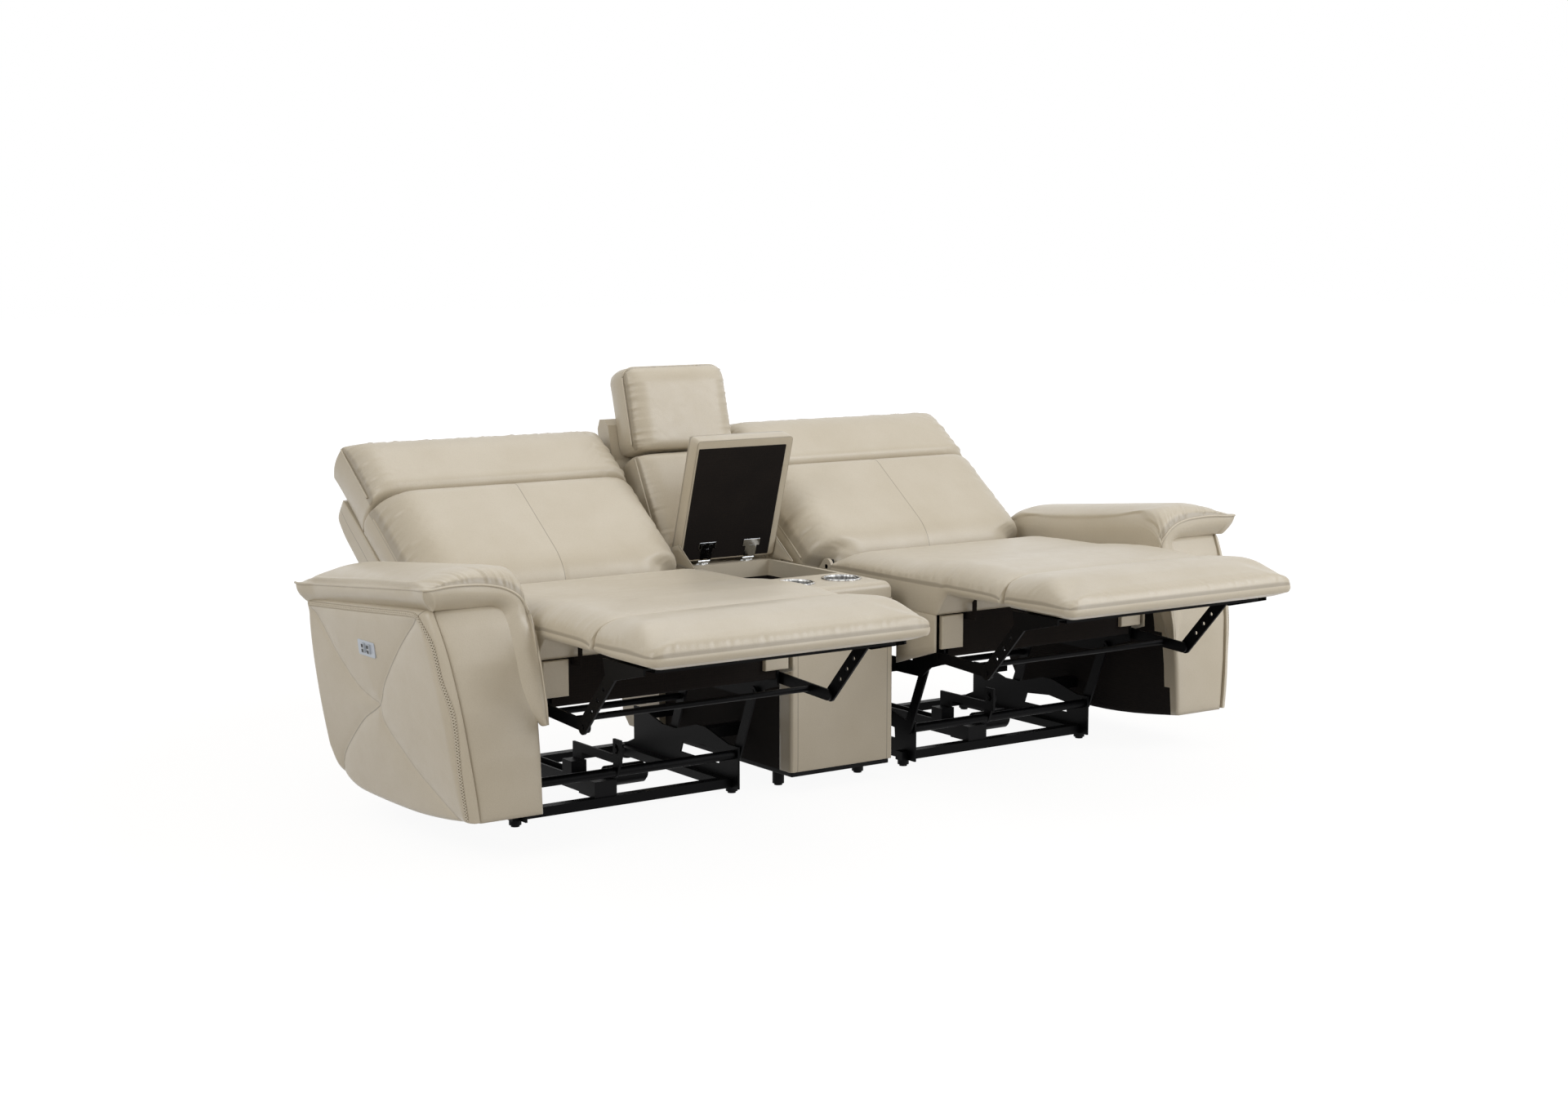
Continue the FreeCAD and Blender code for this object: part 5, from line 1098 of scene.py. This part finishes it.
def arm_box():
    """The arm's box: a slightly bowed leather face, leather turned onto the inner side, cloth behind."""
    z0, z1 = ARM_BOX_Z
    share = lines(0.0, 100.0, 9.0, fine=(0.0, 2.0, 5.0, 9.0, 14.0)) / 100.0
    a, z = np.meshgrid(share, z0 + (z1 - z0) * np.linspace(0.0, 1.0, 46), indexing="ij")
    outer = WING_FOOT[0] - WING_T - 0.5 + (z - WING_FOOT[1]) * math.tan(ARM_LEAN)
    x = ARM_INNER + (outer - ARM_INNER) * a
    edge = np.minimum(x - ARM_INNER, outer - x)
    bow = 5.0 * (1.0 - swell(edge, 8.0)) - 5.0 * swell(edge, 60.0) * swell(z - z0, 50.0)
    face = xyz(x, front_line(z) + 5.0 + bow, z)
    rear_z = np.where(z > ARM_REAR_TOP, ARM_REAR_TOP + (z - ARM_REAR_TOP) * 0.02, z)
    rows = np.concatenate([[0.004, 0.012, 0.03, 0.06, 0.10], np.linspace(0.16, 0.94, 10)])
    points, faces, depth = boxed(face, xyz(x, np.interp(z, *ARM_REAR), rear_z), at=rows)
    points[:, 2] -= 26.0 * np.sin(math.pi * depth) * smooth((200.0 - points[:, 2]) / 110.0)
    obj = build("arm_box", points, faces, leather())
    obj.data.materials.append(dust_cloth())
    middle = points[faces].mean(1)
    behind = middle[:, 1] > front_line(middle[:, 2]) + np.interp(middle[:, 2], *ARM_STRIP)
    under = (middle[:, 2] < z0 + 6.0) & (middle[:, 1] > 60.0)
    cloth = (middle[:, 0] < ARM_INNER + 3.0) & behind | under
    obj.data.polygons.foreach_set("material_index", cloth.astype(np.int32))
    return obj


# The switch: its buttons' places in y and face, the plate's face, and the marks' places, length and height
BUTTON_Y = {"front": 308.0, "rear": 334.0}
BUTTON_FACE = 1092.6
PLATE_FACE = 1089.1
MARK_Z = {"up": 421.5, "down": 410.5}
MARK_SIZE = (7.6, 7.0)
MIDDLE_MARK = (321.0, 416.0)
MIDDLE_MARK_SIZE = (1.8, 15.0)


def switch_mark(name, sx, place, size, x, body):
    """One printed mark of the switch: a plain block of ink on a button's or the plate's face."""
    (y, z), (long, high) = place, size
    ys, zs = np.linspace(y - long / 2, y + long / 2, 3), np.linspace(z - high / 2, z + high / 2, 3)
    grid_y, grid_z = np.meshgrid(ys, zs, indexing="ij")
    top = xyz(x + 0.35, grid_y, grid_z)
    points, faces, _ = boxed(top, top - (0.5, 0.0, 0.0), at=np.zeros(0))
    obj = build(name, leaned(points) * (sx, 1.0, 1.0), faces if sx > 0.0 else faces[:, ::-1], ink(),
                smooth_shade=False)
    return put(obj, body)


def finished(name, material):
    """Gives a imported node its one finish."""
    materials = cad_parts[name].data.materials
    materials.clear()
    materials.append(material)


class LOVESEAT_OT_arms(bpy.types.Operator):
    """Builds the arms: boxes, quilted side panels with their braid, pillows, rolled seams and switches"""

    bl_idname = "loveseat.arms"
    bl_label = "Arms"

    def execute(self, context):
        pillow, seam = arm_pillow()
        put_pair(pillow, "arm_pillow", "base", ["arm_pad_{}"])
        put_pair(welt("arm_welt", seam, 1.15), "arm_welt", "base", [])
        put_pair(wing_panel(), "wing_panel", "base", ["arm_wing_{}"])
        put_pair(braid(), "wing_braid", "base", [])
        put_pair(arm_box(), "arm_box", "base", ["arm_core_{}"])
        finished("switch_plates", abs_silver())
        for side, sx in SIDES:
            for word, y in BUTTON_Y.items():
                button = "button_%s_%s" % (word, side)
                finished(button, abs_button())
                for mark, z in MARK_Z.items():
                    name = "mark_%s_%s_%s" % (mark, word, side)
                    switch_mark(name, sx, (y, z), MARK_SIZE, BUTTON_FACE, button)
            switch_mark("mark_middle_" + side, sx, MIDDLE_MARK, MIDDLE_MARK_SIZE, PLATE_FACE, "base")
        return {"FINISHED"}


# Console and small covers

# The console's front: its plane, the corners' radius, how far the facing runs back, and its seams' inset
FRONT_Y = 130.0
FRONT_R = 6.0
FACING_BACK_Y = 176.0
FACING_Z = (49.0, 438.0)
FACING_SEAM = CONSOLE_HALF - 17.0


def facing():
    """Leather round the console's front: its path turns both front corners, and it bows a little in front."""
    half, r, (z0, z1) = CONSOLE_HALF, FRONT_R, FACING_Z
    side = [(-half, y) for y in np.linspace(FACING_BACK_Y, FRONT_Y + r, 7)]
    turn = np.linspace(0.0, math.pi / 2, 6)[1:]
    side += [(-half + r - r * math.cos(a), FRONT_Y + r - r * math.sin(a)) for a in turn]
    front = [(x, FRONT_Y) for x in np.linspace(-half + r, half - r, 36)[1:-1]]
    path = np.array(side + front + [(-x, y) for x, y in side[::-1]])
    z = np.concatenate([z0 + np.array([0.0, 2.0, 6.0, 13.0]), np.linspace(75.0, 425.0, 28), [433.0, 437.0]])
    d = unit(np.gradient(path, axis=0))
    normal = np.stack([d[:, 1], -d[:, 0]], -1)
    in_front = path[:, 1] < FRONT_Y + 1.0
    rise = swell(half - np.abs(path[:, 0]), 40.0)[:, None] * swell(z - z0, 40.0) * swell(z1 - z, 40.0)
    groove = np.exp(-((np.abs(path[:, 0]) - FACING_SEAM) / 2.2) ** 2) * in_front
    bow = 1.4 + 2.2 * rise * in_front[:, None] - groove[:, None]
    outer = np.zeros((len(path), len(z), 3))
    outer[..., :2] = path[:, None] + normal[:, None] * bow[..., None]
    outer[..., 2] = z
    inner = outer.copy()
    inner[..., :2] = path[:, None] + normal[:, None] * 0.1
    points, faces, depth = boxed(outer, inner, rows=2)
    seen_seam = (depth < 0.01) & (points[:, 1] <= FRONT_Y + 2.0)
    seam = np.where(seen_seam, FACING_SEAM - np.abs(points[:, 0]), OFF_SEAM)
    # Painted shade along the two sunk seams on the console's front
    return build("console_facing", points, faces, leather("leather_taupe_facing_seam_shade", (("seam", 1.2, 0.7),)),
                 {"seam": seam})


def slab(name, x, y, z, round_plan, round_top, step, material, crown=0.0, place=None, bow=0.0):
    """A soft-edged block between two values of x, y and z: rounded in plan and over its top edge.

    It can have a slight crown, and carries the distance to the seams round its side, where a piped hide paints
    shade. place moves the finished points."""
    (x0, x1), (y0, y1), (z0, z1) = x, y, z
    near = np.array((0.0, 1.0, 2.5, 4.5, 7.0)) * min(1.0, min(x1 - x0, y1 - y0) / 30.0)
    gx, gy = np.meshgrid(lines(x0, x1, step, fine=near), lines(y0, y1, step, fine=near), indexing="ij")
    edge = np.minimum(np.minimum(gx - x0, x1 - gx), np.minimum(gy - y0, y1 - gy))
    px, py = corner(gx, gy, x0, x1, y0, y1, round_plan)
    gz = z1 - round_top + round_top * swell(edge, round_top * 1.2) + crown * swell(edge, 60.0)
    low = xyz(px, py, z0)
    points, faces, depth = boxed(xyz(px, py, gz), low, bow, rows=5)
    side = depth[edge.size:-edge.size]
    side = np.minimum(side, 1.0 - side) * (z1 - round_top - z0)
    fields = {"piping": np.concatenate([edge.ravel(), side, edge.ravel()])}
    return build(name, points if place is None else place(points), faces, material, fields)


def around(x, half):
    """The two values at half on both sides of x."""
    return x - half, x + half


# The cup's wall, a spun profile of radius and height from the middle of its underside to that of its floor
CUP_PLACE = (68.0, 228.0)
CUP_PROFILE = (
    (0.0, 404.0), (40.5, 404.0), (42.0, 405.5), (42.5, 408.0), (42.5, 478.0), (48.0, 478.0), (48.4, 479.2),
    (47.6, 480.6), (45.8, 481.4), (43.6, 481.3), (42.0, 480.4), (41.2, 479.0), (41.0, 476.5), (41.0, 411.0),
    (40.0, 407.8), (37.5, 406.0), (0.0, 405.5))


def cup(name, x, y, sides=72):
    """A spun cup: the profile of radius and height turned about its upright axis, closed at both ends."""
    r, z = np.array(CUP_PROFILE[1:-1]).T
    turn = np.linspace(0.0, 2.0 * math.pi, sides, endpoint=False)
    ring_x, ring_y = x + np.outer(np.cos(turn), r), y + np.outer(np.sin(turn), r)
    ring = xyz(ring_x, ring_y, z)
    index = np.arange(sides * len(r)).reshape(sides, -1)
    index = np.concatenate([index, index[:1]])
    low, high = sides * len(r), sides * len(r) + 1
    faces = quads(index).tolist()
    for one, two in zip(index[:-1].tolist(), index[1:].tolist()):
        faces += [[two[0], one[0], low], [one[-1], two[-1], high]]
    points = np.concatenate([ring.reshape(-1, 3), [(x, y, CUP_PROFILE[0][1]), (x, y, CUP_PROFILE[-1][1])]])
    return put(build(name, points, faces, stainless()), "base", ["cup_holders"])


# The steel ear at a back's pivot: its pin, the sleeve's radius there, the neck's corners on the back, and the
# sleeve's two faces from the seat's middle
EAR_PIN = (510.0, 462.0)
EAR_R = 20.5
EAR_NECK = ((-31.5, 23.5), (7.5, 25.5), (12.5, -44.0), (-34.5, -44.0))
EAR_X = (303.5, 311.5)


def boot(name, x, body):
    """The leather sleeve over a back's steel ear: the hull of the ear's disc and neck, as a flat prism."""
    corners = np.array([side_point(v, w) for v, w in EAR_NECK])
    outline = []
    for turn in np.linspace(0.0, 2.0 * math.pi, 72, endpoint=False):
        way = np.array((math.cos(turn), math.sin(turn)))
        spots = np.concatenate([corners, [np.array(EAR_PIN) + EAR_R * way]])
        spot = tuple(spots[np.argmax(spots @ way)])
        if spot not in outline:
            outline.append(spot)
    size = len(outline)
    points = [(x0, *spot) for x0 in x for spot in outline]
    faces = [list(range(size))[::-1], list(range(size, 2 * size))]
    faces += [[k, (k + 1) % size, size + (k + 1) % size, size + k] for k in range(size)]
    return put(build(name, points, faces, leather(), smooth_shade=False), body)


# The skirt beside a seat: x from the seat's middle, y, z, and how far its hem falls towards the rear
SKIRT_X = (331.0, 339.0)
SKIRT_Y = (37.0, 187.0)
SKIRT_Z = (312.0, 401.0)
SKIRT_DROP = 46.0
# The valance below a seat box's front, and the plinth under the console
VALANCE_HALF = 290.0
VALANCE_Y = (45.6, 47.6)
VALANCE_Z = (296.0, 323.5)
PLINTH_HALF = 142.0
PLINTH_Y = (135.0, 670.0)
PLINTH_Z = (37.0, 48.9)


def skirt_hem(points):
    """A skirt's side panel with its hem let down towards the rear."""
    share = (SKIRT_Z[1] - points[:, 2]) / (SKIRT_Z[1] - SKIRT_Z[0])
    drop = SKIRT_DROP * (points[:, 1] - SKIRT_Y[0]) / (SKIRT_Y[1] - SKIRT_Y[0])
    return points - xyz(0.0, 0.0, share * drop)


class LOVESEAT_OT_console(bpy.types.Operator):
    """Builds the console's facing, its back cushion and head roll, and their rolled seams"""

    bl_idname = "loveseat.console"
    bl_label = "Console"

    def execute(self, context):
        put(facing(), "base")
        put(back_pad("console_back_pad", CONSOLE_PAD), "base", ["console_back_cushion"])
        put(back_pad("console_roll_pad", CONSOLE_ROLL), "base", ["console_head_roll"])
        path = sloped(seam_path(CONSOLE_ROLL, 20.0, 0.5), *CONSOLE_ROLL["place"])
        put(welt("console_roll_welt", path, 0.9), "base")
        for word, s in SIDES:
            rail = np.array([(s * (CONSOLE_PAD["half"] - 2.0), v, 0.6) for v in np.linspace(8.0, 285.0, 30)])
            put(welt("console_back_welt_" + word, sloped(rail, *CONSOLE_PAD["place"]), 0.9), "base")
        return {"FINISHED"}


# The lid as it lies shut: pad and lining as x, y, z, the hinge's pin, and the turn that opens it
LID_PIN = (626.0, 486.0)
LID_OPEN = math.radians(-73.4)
LID_PAD = ((-140.6, 140.6), (303.0, 621.0), (480.7, 532.0))
LID_CLOTH = ((-135.0, 122.0), (323.0, 617.0), (479.2, 481.4))
# Each hinge leaf's plate and stem: y of the middle, half widths in x and y, at one x and between two heights
LEAF_X = 66.0
LEAF_Z = (478.15, 479.9)
LEAF_PARTS = {"plate": (582.0, 25.0, 9.0), "stem": (604.0, 10.0, 14.0)}
# The gusset beside the lid's hinge: its top edge's y and z, its foot, its outer face and thickness
GUSSET_TOP = ((540.0, 613.0, 646.0), (480.0, 533.0, 524.0))
GUSSET_FOOT_Z = 478.4
GUSSET_X = 146.8
GUSSET_T = 2.6
GUSSET_CORD = ((145.7, 541.0, 480.0), (145.7, 613.0, 533.5))
GUSSET_CORD_R = 1.9


def lid_open(points):
    """From the shut lid to the open one: a turn about the hinge's pin."""
    dy, dz = points[..., 1] - LID_PIN[0], points[..., 2] - LID_PIN[1]
    c, s = math.cos(LID_OPEN), math.sin(LID_OPEN)
    return xyz(points[..., 0], LID_PIN[0] + dy * c - dz * s, LID_PIN[1] + dy * s + dz * c)


def gusset():
    """The leather gore beside the lid's hinge: a flat piece whose top edge slants up to the open lid."""
    y = np.linspace(GUSSET_TOP[0][0], GUSSET_TOP[0][-1], 12)
    grid_y, share = np.meshgrid(y, np.linspace(0.0, 1.0, 5), indexing="ij")
    z = GUSSET_FOOT_Z + (np.interp(grid_y, *GUSSET_TOP) - GUSSET_FOOT_Z) * share
    top = xyz(GUSSET_X, grid_y, z)
    points, faces, _ = boxed(top, top - (GUSSET_T, 0.0, 0.0), at=np.zeros(0))
    return build("lid_gusset", points, faces, leather())


class LOVESEAT_OT_lid(bpy.types.Operator):
    """Builds the padded lid, its cloth lining, the gussets with their bound edges and the hinge plates"""

    bl_idname = "loveseat.lid"
    bl_label = "Console lid"

    def execute(self, context):
        lid = slab("lid_pad", *LID_PAD, 10.0, 15.0, 9.0, fine_piped(), 4.0, lid_open, 1.6)
        put(lid, "lid", ["lid_board"])
        cloth = slab("lid_cloth", *LID_CLOTH, 2.0, 0.8, 20.0, dust_cloth(), place=lid_open)
        put(cloth, "lid", ["lid_lining"])
        put_pair(gusset(), "lid_gusset", "base")
        cord = tube("lid_gusset_cord", resample(GUSSET_CORD, 6.0), GUSSET_CORD_R, fine_piped())
        put_pair(cord, "lid_gusset_cord", "base")
        for side, sx in SIDES:
            for word, (y, half_x, half_y) in LEAF_PARTS.items():
                x, y_range = around(sx * LEAF_X, half_x), around(y, half_y)
                put(slab("lid_hinge_%s_%s" % (word, side), x, y_range, LEAF_Z, 1.5, 0.5, 8.0, chrome(),
                         place=lid_open), "lid")
        return {"FINISHED"}


class LOVESEAT_OT_trim(bpy.types.Operator):
    """Builds the cups, the ears' sleeves, the skirts and valances of the seats, and the console's plinth"""

    bl_idname = "loveseat.trim"
    bl_label = "Cups and small covers"

    def execute(self, context):
        for side, sx in SIDES:
            middle, seat = sx * SEAT_X, "seat_" + side
            cup("cup_holder_" + side, sx * CUP_PLACE[0], CUP_PLACE[1])
            for place, way in (("inner", -sx), ("outer", sx)):
                x = sorted(middle + way * e for e in EAR_X)
                boot("back_boot_%s_%s" % (side, place), x, "back_" + side)
                x = sorted(middle + way * e for e in SKIRT_X)
                put(slab("seat_skirt_%s_%s" % (side, place), x, SKIRT_Y, SKIRT_Z, 3.5, 0.5, 24.0, leather(),
                         place=skirt_hem), seat)
            x = around(middle, VALANCE_HALF)
            put(slab("seat_valance_" + side, x, VALANCE_Y, VALANCE_Z, 0.3, 0.3, 24.0, dust_cloth()), seat)
        x = around(0.0, PLINTH_HALF)
        put(slab("console_plinth", x, PLINTH_Y, PLINTH_Z, 3.0, 0.5, 24.0, abs_black()), "base")
        return {"FINISHED"}


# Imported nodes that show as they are, by finish; {} stands for both sides
LEATHER_NODES = ("console_top", "console_back_shell", "seat_strips_{}")
STEEL_NODES = ("base_frame_{}", "front_links_{}", "rear_links_{}", "seat_frame_{}", "leg_links_{}",
               "shin_links_{}", "foot_board_{}", "back_frame_{}", "head_brackets_{}")
CLOTH_NODES = ("seat_deck_{}", "console_body")
PLASTIC_NODES = ("actuator_{}", "drive_block_{}", "feet")
CHROME_NODES = ("lid_hinge_leaves", "lid_hinge_bases")


class LOVESEAT_OT_mechanism(bpy.types.Operator):
    """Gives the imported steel, plastic and board parts their finishes"""

    bl_idname = "loveseat.mechanism"
    bl_label = "Mechanism"

    def execute(self, context):
        for names, finish in ((LEATHER_NODES, leather), (STEEL_NODES, powder_coat), (CLOTH_NODES, dust_cloth),
                              (PLASTIC_NODES, abs_black), (CHROME_NODES, chrome)):
            for name in dict.fromkeys(name.format(side) for name in names for side, _ in SIDES):
                finished(name, finish())
        return {"FINISHED"}


# Studio, in metres: the floor, the share of it that is lifted near the seat and where it grows to the whole,
# the room's light, the lamps as place, aim, size, watts and tint, and the camera that was fitted to the photo
FLOOR_HALF = 30.0
FLOOR_COLOUR = "C4C0BA"
FLOOR_LIFT = 1.14
FLOOR_NEAR_SHARE = 0.82
FLOOR_FADE = (1.6, 4.5)
WHITE = (1.0, 1.0, 1.0, 1.0)
ROOM = ((1.0, 0.945, 0.865, 1.0), 0.47)
LAMPS = {
    "key_soft_box": ((3.3, -3.7, 3.2), (0.2, 0.0, 0.4), 2.4, 88.0, (0.97, 1.0, 1.06)),
    "top_soft_box": ((0.7, 0.4, 3.4), (0.2, 0.0, 0.3), 3.0, 24.0, (1.0, 1.0, 1.0)),
    "left_soft_box": ((-3.8, -1.2, 2.7), (-0.6, 0.0, 0.4), 2.0, 40.0, (1.0, 1.0, 1.0)),
    "front_soft_box": ((2.2, -4.4, 0.9), (0.3, 0.0, 0.35), 1.6, 27.0, (1.0, 1.0, 1.0)),
}
PHOTO_WIDTH = 1920.0
FOCAL_PIXELS = 3013.4
SENSOR_MM = 36.0
CAMERA_PLACE = (-3.3797, -4.7194, 1.3112)
CAMERA_DOWN = 7.62
CAMERA_TURN = -35.0


def seen(tree, *rays):
    """1 for rays of the named kinds, else 0."""
    path = node(tree, "ShaderNodeLightPath")
    share = path.outputs[rays[0]]
    for ray in rays[1:]:
        share = calc(tree, "MAXIMUM", share, path.outputs[ray])
    return share


def floor_nodes(tree):
    """A matt white whose seen side is lifted to white, wholly so far away; near the seat its shadow stays."""
    direct = seen(tree, "Is Camera Ray", "Is Glossy Ray", "Is Transmission Ray")
    away = node(tree, "ShaderNodeVectorMath", {0: object_place(tree)}, operation="LENGTH").outputs["Value"]
    lift = calc(tree, "MULTIPLY", direct, ranged(tree, away, *FLOOR_FADE, FLOOR_NEAR_SHARE))
    matt = node(tree, "ShaderNodeBsdfDiffuse", {0: srgb(FLOOR_COLOUR)}).outputs[0]
    light = node(tree, "ShaderNodeEmission", {0: WHITE, 1: FLOOR_LIFT}).outputs[0]
    mix = node(tree, "ShaderNodeMixShader", {0: lift, 1: matt, 2: light})
    node(tree, "ShaderNodeOutputMaterial", {0: mix.outputs[0]})


def studio_floor():
    """A wide pale plane under the feet."""
    far = FLOOR_HALF
    mesh = bpy.data.meshes.new("studio_floor")
    mesh.from_pydata([(-far, -far, 0), (far, -far, 0), (far, far, 0), (-far, far, 0)], [], [(0, 1, 2, 3)])
    mesh.materials.append(made_once("studio_floor_white", floor_nodes))
    return linked("studio_floor", mesh)


def studio_world():
    """A dim warm room that the camera and glossy rays see as plain white."""
    world = bpy.data.worlds.new("studio")
    world.use_nodes = True
    tree = world.node_tree
    tree.nodes.clear()
    direct = seen(tree, "Is Camera Ray", "Is Glossy Ray")
    dim = node(tree, "ShaderNodeBackground", {0: ROOM[0], 1: ROOM[1]}).outputs[0]
    bright = node(tree, "ShaderNodeBackground", {0: WHITE, 1: 1.0}).outputs[0]
    mix = node(tree, "ShaderNodeMixShader", {0: direct, 1: dim, 2: bright})
    node(tree, "ShaderNodeOutputWorld", {0: mix.outputs[0]})
    return world


def lamp(name, place, aim, size, power, tint):
    """A square soft box at a place, turned to an aim."""
    data = bpy.data.lights.new(name, "AREA")
    data.shape, data.size, data.energy, data.color = "SQUARE", size, power, tint
    obj = linked(name, data)
    obj.location = place
    way = np.array(aim) - np.array(place)
    obj.rotation_euler = (math.atan2(math.hypot(way[0], way[1]), -way[2]), 0.0, math.atan2(-way[0], way[1]))


def studio_camera():
    """The photo's camera: its focal length in pixels, its place and its two turns."""
    data = bpy.data.cameras.new("studio_camera")
    data.sensor_width = SENSOR_MM
    data.lens = FOCAL_PIXELS / PHOTO_WIDTH * SENSOR_MM
    data.clip_end = 100.0
    camera = linked("studio_camera", data)
    camera.location = CAMERA_PLACE
    camera.rotation_euler = (math.radians(90.0 - CAMERA_DOWN), 0.0, math.radians(CAMERA_TURN))
    return camera


class LOVESEAT_OT_stage(bpy.types.Operator):
    """Sets the floor, the world, the lamps and the camera"""

    bl_idname = "loveseat.stage"
    bl_label = "Studio"

    def execute(self, context):
        studio_floor()
        context.scene.world = studio_world()
        for name, values in LAMPS.items():
            lamp(name, *values)
        context.scene.camera = studio_camera()
        context.scene.view_settings.view_transform = "Standard"
        return {"FINISHED"}


STEPS = ("seats", "backs", "arms", "console", "lid", "trim", "mechanism", "stage")


class LOVESEAT_PT_panel(bpy.types.Panel):
    """Lists the loveseat's sizes, colours and building steps"""

    bl_idname = "LOVESEAT_PT_panel"
    bl_label = "Reclining loveseat"
    bl_space_type = "VIEW_3D"
    bl_region_type = "UI"
    bl_category = "Loveseat"

    def draw(self, context):
        layout = self.layout
        for group in (context.scene.loveseat_sizes, context.scene.loveseat_colours):
            for key in group.bl_rna.properties.keys():
                if key not in ("rna_type", "name"):
                    layout.prop(group, key)
        for step in STEPS:
            layout.operator("loveseat." + step)


CLASSES = (LoveseatSizes, LoveseatColours, LOVESEAT_OT_seats, LOVESEAT_OT_backs, LOVESEAT_OT_arms,
           LOVESEAT_OT_console, LOVESEAT_OT_lid, LOVESEAT_OT_trim, LOVESEAT_OT_mechanism, LOVESEAT_OT_stage,
           LOVESEAT_PT_panel)


def register():
    for item in CLASSES:
        bpy.utils.register_class(item)
    bpy.types.Scene.loveseat_sizes = bpy.props.PointerProperty(type=LoveseatSizes)
    bpy.types.Scene.loveseat_colours = bpy.props.PointerProperty(type=LoveseatColours)


def unregister():
    del bpy.types.Scene.loveseat_sizes
    del bpy.types.Scene.loveseat_colours
    for item in reversed(CLASSES):
        bpy.utils.unregister_class(item)


def main():
    """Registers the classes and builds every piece."""
    register()
    for step in STEPS:
        getattr(bpy.ops.loveseat, step)()


if __name__ == "__main__":
    main()
